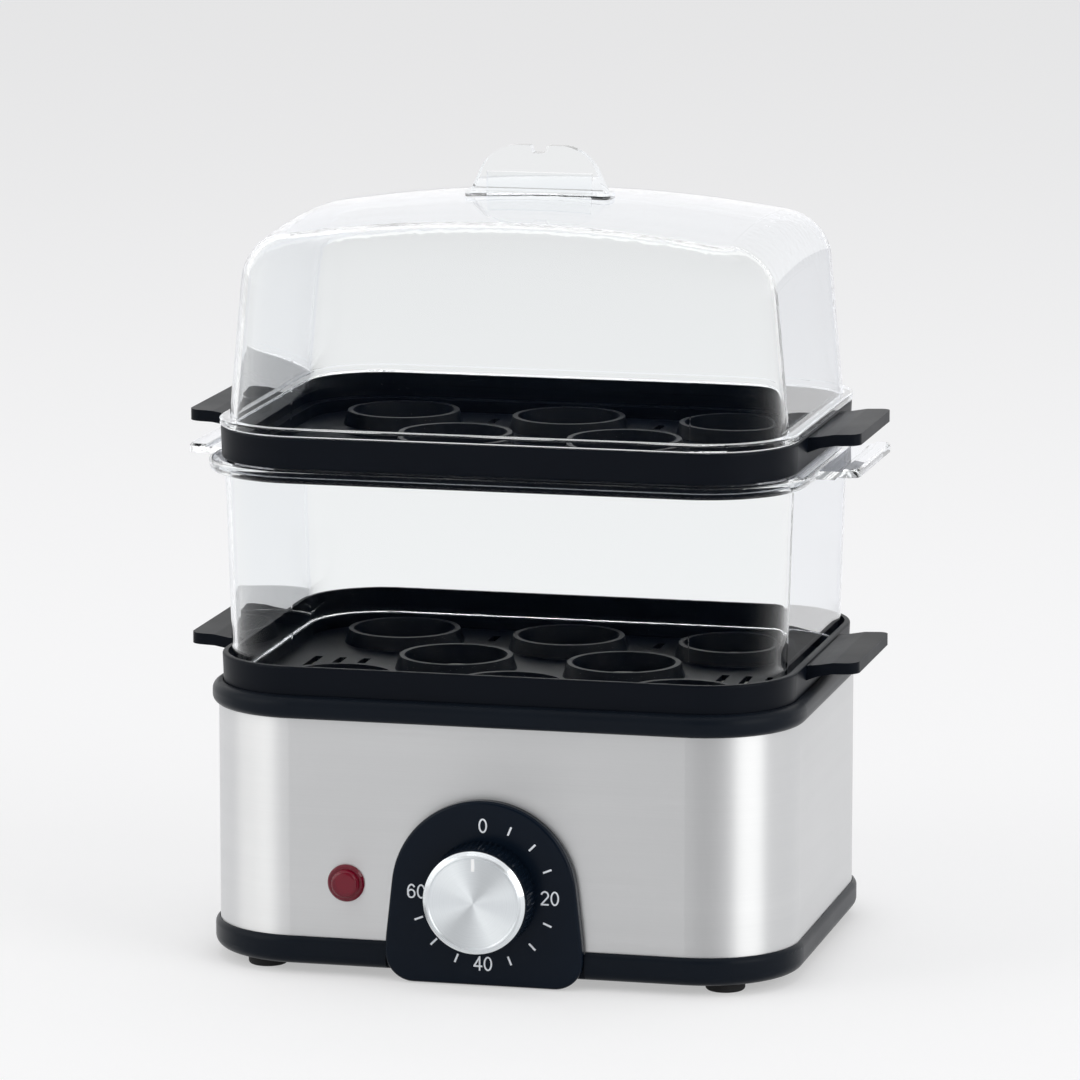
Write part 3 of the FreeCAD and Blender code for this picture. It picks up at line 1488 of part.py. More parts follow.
def lamp_lens():
    flange = f"({front_face} + lens_flange_height)"
    crown = f"({flange} + lens_rise)"
    tail = f"({front_face} - lens_barrel)"
    floor = f"({front_face} - lens_wall)"
    rim = "(lens_radius + lens_flange)"
    body = turned_part(
        "lamp_lens",
        [
            ("0", crown),
            ("lens_radius", crown),
            ("lens_radius", flange),
            (f"{rim} - lens_flange_edge", flange),
            (rim, f"{flange} - lens_flange_edge"),
            (rim, front_face),
            ("lens_radius", front_face),
            ("lens_radius", tail),
            ("lens_radius - lens_wall", tail),
            ("lens_radius - lens_wall", floor),
            ("0", floor),
        ],
        x="lamp_x",
        z="lamp_height",
        turn="front",
    )
    round_edges(body, "lens_crown", "lens_round", level(crown))
    return body


def lamp_bulb():
    """The neon bulb in its sleeve, pushed into the lens from behind, with two leads."""
    body = new_body("lamp_bulb", x="lamp_x", z="lamp_height", turn="front")
    tail = f"({front_face} - lens_barrel - bulb_tail)"
    plan = new_sketch(body, "bulb_plan", offset=tail)
    add_circle(plan, "0", "0", "lens_radius - lens_wall - pilot_gap")
    pad(body, "bulb", plan, f"{front_face} - lens_wall - seat_gap - {tail}")
    leads = new_sketch(body, "bulb_lead_plan", offset=tail)
    for sign in ("", "-"):
        add_circle(leads, f"{sign}bulb_lead_pitch / 2", "0", "lead_radius")
    pad(body, "bulb_leads", leads, "bulb_lead_length", down=True)
    return body


def lamp_clip():
    front = f"({sleeve_back} - pilot_gap)"
    return turned_part(
        "lamp_clip",
        [
            ("lens_radius + pilot_gap", f"{front} - clip_height"),
            ("lens_radius + clip_width", f"{front} - clip_height"),
            ("lens_radius + clip_width", front),
            ("lens_radius + pilot_gap", front),
        ],
        x="lamp_x",
        z="lamp_height",
        turn="front",
    )


# ---------------------------------------------------------------- cord gland and terminal block


def cord_gland():
    """A bushing pushed through the steel from behind, held by the barb inside, with a flared mouth."""
    mouth = f"({front_face} + gland_flange)"
    tail = f"({mouth} - gland_length)"
    barrel = "(gland_bore_radius + gland_wall)"
    rim = f"({barrel} + gland_flange_width)"
    barb = f"({sleeve_back} - pilot_gap)"
    return turned_part(
        "cord_gland",
        [
            ("gland_bore_radius + gland_mouth_flare", mouth),
            (f"{rim} - gland_edge", mouth),
            (rim, f"{mouth} - gland_edge"),
            (rim, front_face),
            (barrel, front_face),
            (barrel, barb),
            (f"{barrel} + gland_barb", barb),
            (barrel, f"{barb} - gland_barb_length"),
            (f"{barrel} - gland_tail_taper", tail),
            ("gland_bore_radius", tail),
            ("gland_bore_radius", f"{mouth} - gland_mouth_depth"),
        ],
        x="gland_x",
        z="gland_height",
        turn="rear",
    )


def terminal_block():
    body = new_body("terminal_block", x="block_x", y=block_y, z=f"{floor_top} + block_stand")
    plan = new_sketch(body, "block_plan")
    add_box(plan, "-block_length / 2", "-block_width / 2", "block_length / 2", "block_width / 2")
    pad(body, "block", plan, "block_height")
    posts = new_sketch(body, "terminal_post_plan", offset="block_height")
    wells = new_sketch(body, "terminal_well_plan", offset="block_height + post_height")
    entries = new_sketch(body, "entry_plan", "XZ_Plane", offset="block_width / 2 + overrun")
    for sign in ("", "-"):
        centre = f"{sign}post_pitch / 2"
        add_box(
            posts,
            f"{centre} - post_length / 2",
            "-post_width / 2",
            f"{centre} + post_length / 2",
            "post_width / 2",
        )
        add_circle(wells, centre, "0", "well_radius")
        add_circle(entries, centre, "entry_height", "entry_radius")
    pad(body, "terminal_posts", posts, "post_height")
    well_floor = "(entry_height + entry_radius - well_overlap)"
    pocket(body, "terminal_wells", wells, f"block_height + post_height - {well_floor}")
    pocket(body, "entries", entries)
    fixing = new_sketch(body, "fixing_plan", offset="block_height")
    add_circle(fixing, "0", "0", "screw_radius + slip_gap")
    pocket(body, "fixing_hole", fixing)
    return body


def terminal_screw():
    top = f"({floor_top} + block_stand + block_height)"
    tip = f"({floor_top} - block_pilot_depth + slip_gap)"
    body = turned_part(
        "terminal_screw",
        [
            ("0", tip),
            ("screw_radius", tip),
            ("screw_radius", top),
            ("screw_head_radius", top),
            ("screw_head_radius", f"{top} + screw_head_height"),
            ("0", f"{top} + screw_head_height"),
        ],
        x="block_x",
        y=block_y,
    )
    round_edges(body, "terminal_head_edge", "pilot_gap + shank_gap", level(f"{top} + screw_head_height"))
    return body


# ---------------------------------------------------------------- build, check and export

nodes = [
    base_housing(),
    rubber_feet(),
    base_screws(),
    steel_sleeve(),
    top_ring(),
    plate_gasket(),
    heating_plate(),
    heat_spreader(),
    heater_element(),
    plate_strap(),
    strap_nut(),
    thermostat(),
    thermal_fuse(),
    timer_body(),
    timer_bell(),
    timer_screws(),
    dial_plate(),
    timer_shaft(),
    timer_knob(),
    knob_cap(),
    lamp_lens(),
    lamp_bulb(),
    lamp_clip(),
    cord_gland(),
    terminal_block(),
    terminal_screw(),
    tray("lower_tray", lower_shoulder),
    steam_box(),
    tray("upper_tray", upper_shoulder),
    lid_shell(),
]
doc.recompute()

for item in doc.Objects:
    if "Invalid" in item.State or "Error" in item.State:
        raise ValueError(f"{item.Label} did not build: {item.State}")
os.makedirs("parts", exist_ok=True)
for item in nodes:
    shape = item.Shape
    if shape.isNull() or not shape.isValid():
        raise ValueError(f"{item.Label} has no valid shape")
    shape.exportStep(f"parts/{item.Label}.step")
    box = shape.BoundBox
    print(
        f"{item.Label:16s} solids {len(shape.Solids)}  volume {shape.Volume:10.1f}"
        f"  x {box.XMin:7.2f} {box.XMax:7.2f}  y {box.YMin:7.2f} {box.YMax:7.2f}"
        f"  z {box.ZMin:7.2f} {box.ZMax:7.2f}"
    )
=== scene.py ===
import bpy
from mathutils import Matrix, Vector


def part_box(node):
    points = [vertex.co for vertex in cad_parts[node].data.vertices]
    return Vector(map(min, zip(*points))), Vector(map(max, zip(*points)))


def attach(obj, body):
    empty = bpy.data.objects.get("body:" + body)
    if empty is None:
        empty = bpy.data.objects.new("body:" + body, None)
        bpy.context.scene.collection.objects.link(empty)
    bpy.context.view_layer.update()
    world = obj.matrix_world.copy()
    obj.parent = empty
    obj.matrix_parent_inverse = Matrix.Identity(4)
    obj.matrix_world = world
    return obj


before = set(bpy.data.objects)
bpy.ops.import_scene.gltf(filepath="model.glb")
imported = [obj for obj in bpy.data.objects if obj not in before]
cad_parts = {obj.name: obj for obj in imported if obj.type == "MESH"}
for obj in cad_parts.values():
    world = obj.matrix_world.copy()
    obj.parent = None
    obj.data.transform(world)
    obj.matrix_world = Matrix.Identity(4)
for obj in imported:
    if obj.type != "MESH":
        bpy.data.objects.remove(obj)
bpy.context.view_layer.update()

import math

import bmesh
import bpy
from mathutils import Vector

# ---------------------------------------------------------------- studio
# A pale floor in a white surround, soft boxes at the left, at the right and overhead with a small
# key among them, and a camera to the right of the front. Metal mirrors the surround, and a dimmer
# patch in it, high in front, gives brushed faces their darker streaks.

scene = bpy.context.scene
scene.view_settings.view_transform = "Standard"

SURROUND = (1.0, 1.0, 1.0, 1.0)
AMBIENT = 0.60
DIM_SIDE = (0.18, -0.84, 0.51)
DIM_SHARE = 0.92
DIM_STARTS = 0.79
DIM_FULL = 0.98
FLOOR_RADIUS = 12.0
FLOOR_SIDES = 96
FLOOR_SEEN = (0.58, 0.58, 0.59)
FLOOR_LIT = (0.74, 0.74, 0.75)
FLOOR_LIFT = 0.42
CAMERA_AZIMUTH = 13.643
CAMERA_PITCH = 10.128
CAMERA_PLACE = (0.4964, -2.0452, 0.5037)
CAMERA_LENS = 224.57
CAMERA_SENSOR = 36.0
SOFT_BOXES = (
    # name, place, target, width, height, brightness and tint
    ("left_soft_box", (-1.94, -1.03, 0.85), (0.0, 0.0, 0.12), 2.3, 1.6, 0.84, (1.0, 0.985, 0.93)),
    ("right_soft_box", (1.86, -0.78, 0.8), (0.0, 0.0, 0.12), 1.35, 1.5, 2.05, (1.0, 1.0, 0.97)),
    ("key_soft_box", (-1.25, -1.05, 1.1), (0.0, 0.0, 0.05), 0.7, 0.7, 1.4, (1.0, 0.995, 0.97)),
    ("top_soft_box", (0.0, 0.3, 1.9), (0.0, 0.0, 0.1), 1.6, 1.4, 0.9, (0.97, 0.98, 1.0)),
)


def add_node(tree, kind, inputs=None, **settings):
    """A node with its settings. An input given as a socket is linked, any other value is set."""
    made = tree.nodes.new(kind)
    for name, value in settings.items():
        setattr(made, name, value)
    for socket, value in (inputs or {}).items():
        target = made.inputs[socket]
        if isinstance(value, bpy.types.NodeSocket):
            tree.links.new(value, target)
        else:
            target.default_value = value
    return made


def add_math(tree, operation, first, second, clamp=False):
    made = add_node(tree, "ShaderNodeMath", {0: first, 1: second}, operation=operation, use_clamp=clamp)
    return made.outputs[0]


def map_range(tree, value, start, end, low=0.0, high=1.0, **settings):
    """A value carried from the range start to end into low to high, and held at both ends."""
    inputs = {"Value": value, "From Min": start, "From Max": end, "To Min": low, "To Max": high}
    return add_node(tree, "ShaderNodeMapRange", inputs, **settings).outputs["Result"]


def mix_colours(tree, share, first, second):
    """The colour between two, as tuples or sockets, by a share from 0 to 1."""
    made = add_node(tree, "ShaderNodeMix", {"Factor": share}, data_type="RGBA")
    for socket, value in ((made.inputs[6], first), (made.inputs[7], second)):
        if isinstance(value, bpy.types.NodeSocket):
            tree.links.new(value, socket)
        else:
            socket.default_value = (*value, 1.0)
    return made.outputs[2]


def start_material(name, colour, **sockets):
    """A material, its node tree and its Principled shader, with plain values set on the shader."""
    material = bpy.data.materials.new(name)
    material.use_nodes = True
    tree = material.node_tree
    shader = tree.nodes["Principled BSDF"]
    shader.inputs["Base Color"].default_value = (*colour, 1.0)
    for socket, value in sockets.items():
        shader.inputs[socket.replace("_", " ")].default_value = value
    return material, tree, shader


def build_surround():
    world = bpy.data.worlds.new("studio_surround")
    scene.world = world
    world.use_nodes = True
    tree = world.node_tree
    backdrop = tree.nodes["Background"]
    backdrop.inputs["Color"].default_value = SURROUND
    path = add_node(tree, "ShaderNodeLightPath").outputs
    seen = add_math(tree, "MAXIMUM", path["Is Camera Ray"], path["Is Transmission Ray"])
    toward = add_node(tree, "ShaderNodeTexCoord").outputs["Generated"]
    facing = add_node(tree, "ShaderNodeVectorMath", {0: toward, 1: DIM_SIDE}, operation="DOT_PRODUCT")
    patch = map_range(
        tree,
        facing.outputs["Value"],
        DIM_STARTS,
        DIM_FULL,
        1.0,
        1.0 - DIM_SHARE,
        interpolation_type="SMOOTHSTEP",
    )
    mirrored = add_math(tree, "MULTIPLY", path["Is Glossy Ray"], patch)
    shown = add_math(tree, "MAXIMUM", seen, mirrored)
    direct = add_math(tree, "MAXIMUM", seen, path["Is Glossy Ray"])
    soft = add_math(tree, "MULTIPLY", add_math(tree, "SUBTRACT", 1.0, direct), AMBIENT)
    tree.links.new(add_math(tree, "ADD", shown, soft), backdrop.inputs["Strength"])


def build_floor():
    mesh = bpy.data.meshes.new("studio_floor")
    form = bmesh.new()
    bmesh.ops.create_circle(form, cap_ends=True, segments=FLOOR_SIDES, radius=FLOOR_RADIUS)
    form.to_mesh(mesh)
    form.free()
    floor = bpy.data.objects.new("studio_floor", mesh)
    scene.collection.objects.link(floor)
    material, tree, shader = start_material(
        "pale_floor", FLOOR_LIT, Roughness=0.9, Specular_IOR_Level=0.0, Emission_Color=SURROUND
    )
    path = add_node(tree, "ShaderNodeLightPath").outputs
    seen = add_math(tree, "MAXIMUM", path["Is Camera Ray"], path["Is Glossy Ray"])
    seen = add_math(tree, "MAXIMUM", seen, path["Is Transmission Ray"])
    tree.links.new(mix_colours(tree, seen, FLOOR_LIT, FLOOR_SEEN), shader.inputs["Base Color"])
    tree.links.new(add_math(tree, "MULTIPLY", seen, FLOOR_LIFT), shader.inputs["Emission Strength"])
    mesh.materials.append(material)


def add_soft_box(name, place, target, width, height, brightness, tint):
    """An area light of one brightness all over, aimed at the target."""
    lamp = bpy.data.lights.new(name, "AREA")
    lamp.shape = "RECTANGLE"
    lamp.size = width
    lamp.size_y = height
    lamp.energy = brightness * math.pi * width * height
    lamp.color = tint
    box = bpy.data.objects.new(name, lamp)
    box.location = place
    box.rotation_euler = (Vector(target) - Vector(place)).to_track_quat("-Z", "Y").to_euler()
    box.visible_transmission = False
    scene.collection.objects.link(box)


def build_camera():
    lens = bpy.data.cameras.new("viewpoint")
    lens.sensor_width = CAMERA_SENSOR
    lens.lens = CAMERA_LENS
    camera = bpy.data.objects.new("viewpoint", lens)
    camera.location = CAMERA_PLACE
    camera.rotation_euler = (math.radians(90.0 - CAMERA_PITCH), 0.0, math.radians(CAMERA_AZIMUTH))
    scene.collection.objects.link(camera)
    scene.camera = camera


build_surround()
build_floor()
build_camera()
for soft_box in SOFT_BOXES:
    add_soft_box(*soft_box)


# ---------------------------------------------------------------- base housing
# The base is one black polypropylene moulding with a spark-eroded satin surface. The steel band
# drops into the groove round its spigot, and long screws from beneath pull the housing together.

BLACK_PLASTIC = (0.0032, 0.0056, 0.0100)
WORN_BLACK = (0.020, 0.024, 0.032)
NOISE_SPREAD = (0.3, 0.7)
SMUDGE_SCALE = 34.0
SMUDGE_SHARE = 0.7
WEAR_PATCHES = 160.0
WEAR_SPREAD = (0.4, 0.65)
WEAR_SHARPNESS = 6.0
GRAZE_BLEND = 0.5
GRAZE_SPREAD = (0.4, 0.9)
MOTTLE = 1.35


def start_group(name, inputs, outputs):
    """A shader node group with named sockets: returns it with its input and output nodes."""
    group = bpy.data.node_groups.new(name, "ShaderNodeTree")
    for label, value in inputs.items():
        socket = group.interface.new_socket(label, in_out="INPUT", socket_type="NodeSocketFloat")
        socket.default_value = value
    for label in outputs:
        group.interface.new_socket(label, in_out="OUTPUT", socket_type="NodeSocketFloat")
    return group, group.nodes.new("NodeGroupInput"), group.nodes.new("NodeGroupOutput")


def object_place(tree):
    """Where a point is on its piece, in metres."""
    return add_node(tree, "ShaderNodeTexCoord").outputs["Object"]


def add_noise(tree, place, scale, detail, roughness=0.5):
    inputs = {"Vector": place, "Scale": scale, "Detail": detail, "Roughness": roughness}
    return add_node(tree, "ShaderNodeTexNoise", inputs).outputs["Fac"]


def add_relief(tree, shader, height, depth, strength=1.0):
    """Shallow relief on a shader, as deep as the real one's, in metres."""
    bump = add_node(tree, "ShaderNodeBump", {"Height": height, "Strength": strength, "Distance": depth})
    tree.links.new(bump.outputs["Normal"], shader.inputs["Normal"])


def build_moulded_grain():
    """Fine pits of a moulding, with the slow change in gloss that handling leaves."""
    group, given, result = start_group(
        "moulded_grain",
        {"Grain per metre": 1500.0, "Gloss low": 0.35, "Gloss high": 0.5},
        ("Height", "Roughness", "Mottle"),
    )
    place = object_place(group)
    pits = add_noise(group, place, given.outputs["Grain per metre"], 3.0, 0.6)
    smudge = add_noise(group, place, SMUDGE_SCALE, 4.0)
    broad = add_math(group, "MULTIPLY", smudge, SMUDGE_SHARE)
    fine = add_math(group, "MULTIPLY", pits, 1.0 - SMUDGE_SHARE)
    share = add_math(group, "ADD", broad, fine, clamp=True)
    gloss = (given.outputs["Gloss low"], given.outputs["Gloss high"])
    rough = map_range(group, share, *NOISE_SPREAD, *gloss)
    group.links.new(pits, result.inputs["Height"])
    group.links.new(rough, result.inputs["Roughness"])
    group.links.new(smudge, result.inputs["Mottle"])
    return group


def build_edge_wear():
    """A mask that is 1 along rubbed edges and breaks up into nothing away from them."""
    group, given, result = start_group("edge_wear", {"Width": 0.0004, "Amount": 0.6}, ("Mask",))
    rounded = add_node(group, "ShaderNodeBevel", {"Radius": given.outputs["Width"]}, samples=4)
    flat = add_node(group, "ShaderNodeNewGeometry").outputs["Normal"]
    match = add_node(
        group, "ShaderNodeVectorMath", {0: rounded.outputs["Normal"], 1: flat}, operation="DOT_PRODUCT"
    )
    turn = add_math(group, "SUBTRACT", 1.0, match.outputs["Value"])
    patches = add_noise(group, object_place(group), WEAR_PATCHES, 3.0)
    broken = map_range(group, patches, *WEAR_SPREAD)
    strong = add_math(group, "MULTIPLY", turn, WEAR_SHARPNESS, clamp=True)
    rubbed = add_math(group, "MULTIPLY", strong, broken)
    mask = add_math(group, "MULTIPLY", rubbed, given.outputs["Amount"], clamp=True)
    group.links.new(mask, result.inputs["Mask"])
    return group


MOULDED_GRAIN = build_moulded_grain()
EDGE_WEAR = build_edge_wear()


def place_group(tree, group, **inputs):
    """A copy of an effect in a material, with its own values."""
    made = tree.nodes.new("ShaderNodeGroup")
    made.node_tree = group
    for socket, value in inputs.items():
        made.inputs[socket.replace("_", " ")].default_value = value
    return made.outputs


def place_grain(tree, shader, grain, gloss):
    """Moulded grain that sets a shader's roughness. The gloss is a pair, from low to high."""
    surface = place_group(tree, MOULDED_GRAIN, Grain_per_metre=grain, Gloss_low=gloss[0], Gloss_high=gloss[1])
    tree.links.new(surface["Roughness"], shader.inputs["Roughness"])
    return surface


def plastic_finish(name, colour, worn, grain, gloss, depth, wear, level=0.10, width=0.0004, graze=0.0):
    """Moulded plastic: grain in its gloss and relief, a slight mottle, and edges rubbed paler.

    Graze is how much more it shines where it is seen along its face.
    """
    material, tree, shader = start_material(
        name, colour, Specular_IOR_Level=level, Coat_Roughness=gloss[1]
    )
    if graze:
        slant = add_node(tree, "ShaderNodeLayerWeight", {"Blend": GRAZE_BLEND}).outputs["Facing"]
        shine = map_range(tree, slant, *GRAZE_SPREAD, high=graze)
        tree.links.new(shine, shader.inputs["Coat Weight"])
    surface = place_grain(tree, shader, grain, gloss)
    rubbed = place_group(tree, EDGE_WEAR, Width=width, Amount=wear)
    paler = tuple(channel * MOTTLE for channel in colour)
    body = mix_colours(tree, surface["Mottle"], colour, paler)
    tree.links.new(mix_colours(tree, rubbed["Mask"], body, worn), shader.inputs["Base Color"])
    add_relief(tree, shader, surface["Height"], depth)
    return material


def finish_nodes(material, *names):
    for name in names:
        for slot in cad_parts[name].material_slots:
            slot.material = material


black_moulding = plastic_finish(
    "black_moulding",
    BLACK_PLASTIC,
    WORN_BLACK,
    grain=3600.0,
    gloss=(0.34, 0.46),
    depth=0.000006,
    wear=0.5,
    graze=0.4,
)
finish_nodes(black_moulding, "base_housing")


# ---------------------------------------------------------------- feet and base screws
# Four black rubber feet, each held by a long zinc-plated screw that runs up through the base's
# boss into the top ring's post. The screws sit deep in the feet, clear of the table.

FOOT_RUBBER = (0.012, 0.012, 0.013)
RUBBED_RUBBER = (0.05, 0.05, 0.05)
ZINC = (0.58, 0.59, 0.60)
ZINC_DARK = (0.36, 0.36, 0.35)


def rubber_finish(name, colour, worn):
    """Matt rubber, coarser in its grain than a moulded plastic."""
    return plastic_finish(
        name, colour, worn, grain=900.0, gloss=(0.62, 0.8), depth=0.00006, wear=0.5, level=0.25, width=0.0006
    )


def metal_finish(name, colour, dark, gloss, spots, depth):
    """Plain plated or cast metal: cloudy patches in colour and gloss, with a fine grain."""
    material, tree, shader = start_material(name, colour, Metallic=1.0)
    surface = place_grain(tree, shader, spots, gloss)
    tree.links.new(mix_colours(tree, surface["Mottle"], dark, colour), shader.inputs["Base Color"])
    add_relief(tree, shader, surface["Height"], depth)
    return material


foot_rubber = rubber_finish("foot_rubber", FOOT_RUBBER, RUBBED_RUBBER)
zinc_plate = metal_finish("zinc_plate", ZINC, ZINC_DARK, gloss=(0.25, 0.4), spots=1200.0, depth=0.00001)
finish_nodes(foot_rubber, "rubber_feet")
finish_nodes(zinc_plate, "base_screws")


# ---------------------------------------------------------------- steel band
# The housing's wall: one strip of stainless steel, half a millimetre thick, brushed along its
# length, bent round the four corners and held between the base and the top ring.

STEEL_BRIGHT = (0.755, 0.76, 0.765)
STEEL_DULL = (0.655, 0.66, 0.67)
STEEL_GLOSS = (0.38, 0.46)
BRUSH_LINES = (6.0, 6.0, 2600.0)
BRUSH_BANDS = (9.0, 9.0, 210.0)
BRUSH_DEPTH = 0.000006
HAND_MARKS = 26.0
HAND_DULLING = 0.05
LINE_SHARE = 0.6


def build_brushed_steel():
    material, tree, shader = start_material(
        "brushed_steel", STEEL_BRIGHT, Metallic=1.0, Anisotropic=0.9, Anisotropic_Rotation=0.25
    )
    along = add_node(tree, "ShaderNodeTangent", direction_type="RADIAL", axis="Z")
    tree.links.new(along.outputs["Tangent"], shader.inputs["Tangent"])
    place = object_place(tree)
    stretch = add_node(tree, "ShaderNodeMapping", {"Vector": place, "Scale": BRUSH_LINES})
    lines = add_noise(tree, stretch.outputs["Vector"], 1.0, 4.0, 0.65)
    broad = add_node(tree, "ShaderNodeMapping", {"Vector": place, "Scale": BRUSH_BANDS})
    bands = add_noise(tree, broad.outputs["Vector"], 1.0, 3.0)
    hands = add_noise(tree, place, HAND_MARKS, 5.0)
    from_lines = add_math(tree, "MULTIPLY", lines, LINE_SHARE)
    from_bands = add_math(tree, "MULTIPLY", bands, 1.0 - LINE_SHARE)
    share = add_math(tree, "ADD", from_lines, from_bands)
    gloss = map_range(tree, lines, *NOISE_SPREAD, *STEEL_GLOSS)
    touched = add_math(tree, "ADD", gloss, add_math(tree, "MULTIPLY", hands, HAND_DULLING))
    tree.links.new(mix_colours(tree, share, STEEL_DULL, STEEL_BRIGHT), shader.inputs["Base Color"])
    tree.links.new(touched, shader.inputs["Roughness"])
    add_relief(tree, shader, lines, BRUSH_DEPTH, strength=0.5)
    return material


finish_nodes(build_brushed_steel(), "steel_sleeve")


# ---------------------------------------------------------------- dial plate and timer
# The gloss-black dial plate carries the printed minutes. Its spigot goes through the steel, and two
# screws through its face hold the clockwork timer and its bell behind it.

DIAL_BLACK = (0.0026, 0.0060, 0.0125)
DIAL_WORN = (0.05, 0.055, 0.06)
PRINT_WHITE = (0.74, 0.77, 0.82)
PRINT_THICKNESS = 0.00004
PRINT_OVERLAP = 0.15
DIAL_NUMBERS = ("0", "20", "40", "60")
NUMBER_RINGS = (0.02185, 0.0213, 0.02185, 0.0213)
DIGIT_HEIGHT = 0.0046
DIGIT_STROKE = 0.00052
DIGIT_PITCH = 0.00315
TICK_RING = 0.0222
TICK_LENGTH = 0.0029
TICK_WIDTH = 0.00062
TICK_STEP = 22.5
NYLON = (0.74, 0.72, 0.66)
NYLON_WORN = (0.82, 0.80, 0.75)

dial_low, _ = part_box("dial_plate")
cap_low, cap_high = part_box("knob_cap")
DIAL_X = (cap_low[0] + cap_high[0]) / 2
DIAL_Z = (cap_low[2] + cap_high[2]) / 2
DIAL_FACE = dial_low[1]

dial_gloss = plastic_finish(
    "dial_gloss",
    DIAL_BLACK,
    DIAL_WORN,
    grain=2400.0,
    gloss=(0.16, 0.26),
    depth=0.00001,
    wear=0.25,
    graze=0.5,
)
print_white = plastic_finish(
    "print_white",
    PRINT_WHITE,
    PRINT_WHITE,
    grain=3000.0,
    gloss=(0.35, 0.5),
    depth=0.000004,
    wear=0.0,
    width=0.0001,
)
white_nylon = plastic_finish(
    "white_nylon", NYLON, NYLON_WORN, grain=1300.0, gloss=(0.38, 0.5), depth=0.00002, wear=0.2, level=0.5
)


def on_dial(angle, radius, face):
    """The point at a clock angle in degrees and a radius, on a plane facing the front."""
    turn = math.radians(angle)
    return Vector((DIAL_X + radius * math.sin(turn), face, DIAL_Z + radius * math.cos(turn)))


def finish_form(form, name):
    bmesh.ops.recalc_face_normals(form, faces=form.faces)
    mesh = bpy.data.meshes.new(name)
    form.to_mesh(mesh)
    form.free()
    return mesh


def add_piece(name, form, body, material):
    """A new piece from a bmesh, riding on a body, with its finish."""
    piece = bpy.data.objects.new(name, finish_form(form, name))
    scene.collection.objects.link(piece)
    piece.data.materials.append(material)
    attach(piece, body)


def arc(across, up, half_width, half_height, first, last, steps=20):
    """Points along part of an oval, from one clock angle to another."""
    turns = [math.radians(first + (last - first) * step / steps) for step in range(steps + 1)]
    return [(across + half_width * math.sin(turn), up + half_height * math.cos(turn)) for turn in turns]


# Each digit's strokes, as points in a box one unit high around its middle.
DIGIT_LINES = {
    "0": [arc(0.0, 0.0, 0.24, 0.44, 0, 360, 36)],
    "2": [arc(0.0, 0.195, 0.235, 0.245, -80, 118) + [(-0.25, -0.44)], [(-0.28, -0.44), (0.27, -0.44)]],
    "4": [[(0.11, 0.5), (0.11, -0.5)], [(0.11, 0.44), (-0.27, -0.19)], [(-0.32, -0.19), (0.30, -0.19)]],
    "6": [arc(0.0, -0.175, 0.24, 0.265, 0, 360, 30), arc(0.02, 0.0, 0.26, 0.44, -132, 52)],
}


def add_stroke(form, line, centre, thickness):
    """One printed stroke: a ribbon of even width along a line of points, closed if the line is."""
    closed = math.dist(line[0], line[-1]) < 1e-6
    points = [Vector(point) for point in (line[:-1] if closed else line)]
    rows = []
    for index, point in enumerate(points):
        before = points[index - 1] if closed or index else point
        after = points[(index + 1) % len(points)] if closed or index + 1 < len(points) else point
        run = (after - before).normalized()
        side = Vector((-run.y, run.x)) * (DIGIT_STROKE / 2)
        row = []
        for edge, height in ((1, thickness), (-1, thickness), (-1, 0.0), (1, 0.0)):
            spot = point * DIGIT_HEIGHT + side * edge
            row.append(form.verts.new((centre.x + spot.x, centre.y - height, centre.z + spot.y)))
        rows.append(row)
    for row, following in zip(rows, rows[1:] + rows[:1] if closed else rows[1:]):
        for edge in range(4):
            nearby = (edge + 1) % 4
            form.faces.new((row[edge], row[nearby], following[nearby], following[edge]))
    if not closed:
        form.faces.new(rows[0])
        form.faces.new(list(reversed(rows[-1])))


def print_number(text, angle, radius):
    """One upright number. Where strokes cross, the later lies a little higher, as ink does."""
    form = bmesh.new()
    middle = on_dial(angle, radius, DIAL_FACE)
    for place, digit in enumerate(text):
        shift = (place - (len(text) - 1) / 2) * DIGIT_PITCH
        for layer, line in enumerate(DIGIT_LINES[digit]):
            thickness = PRINT_THICKNESS * (1.0 + PRINT_OVERLAP * layer)
            add_stroke(form, line, middle + Vector((shift, 0.0, 0.0)), thickness)
    add_piece(f"minute_{text}", form, "root", print_white)


def add_bar(form, angle, radius, length, width, face, thickness):
    """A thin bar along a radius of the dial."""
    turn = math.radians(angle)
    outward = Vector((math.sin(turn), 0.0, math.cos(turn)))
    sideways = Vector((math.cos(turn), 0.0, -math.sin(turn)))
    centre = on_dial(angle, radius, face)
    layers = []
    for level in (thickness / 2, -thickness / 2):
        corners = []
        for along, side in ((-1, -1), (1, -1), (1, 1), (-1, 1)):
            place = centre + outward * (along * length / 2) + sideways * (side * width / 2)
            corners.append(form.verts.new(place + Vector((0.0, level, 0.0))))
        layers.append(corners)
    back, front = layers
    form.faces.new(back)
    form.faces.new(list(reversed(front)))
    for index in range(4):
        following = (index + 1) % 4
        form.faces.new((back[index], front[index], front[following], back[following]))


for place, number in enumerate(DIAL_NUMBERS):
    print_number(number, place * 90.0, NUMBER_RINGS[place])
ticks = bmesh.new()
for quarter in range(3):
    for step in (1, 2, 3):
        angle = quarter * 90.0 + step * TICK_STEP
        add_bar(ticks, angle, TICK_RING, TICK_LENGTH, TICK_WIDTH, DIAL_FACE, PRINT_THICKNESS)
add_piece("minute_ticks", ticks, "root", print_white)

finish_nodes(dial_gloss, "dial_plate")
finish_nodes(white_nylon, "timer_body")
finish_nodes(zinc_plate, "timer_bell", "timer_screws", "timer_shaft")


# ---------------------------------------------------------------- knob
# A black moulded knob with a fluted skirt, pushed onto the shaft's flat. A cap of aluminium sheet,
# spun and turned to a bright bevel, is pressed into its front and carries a white pointer.

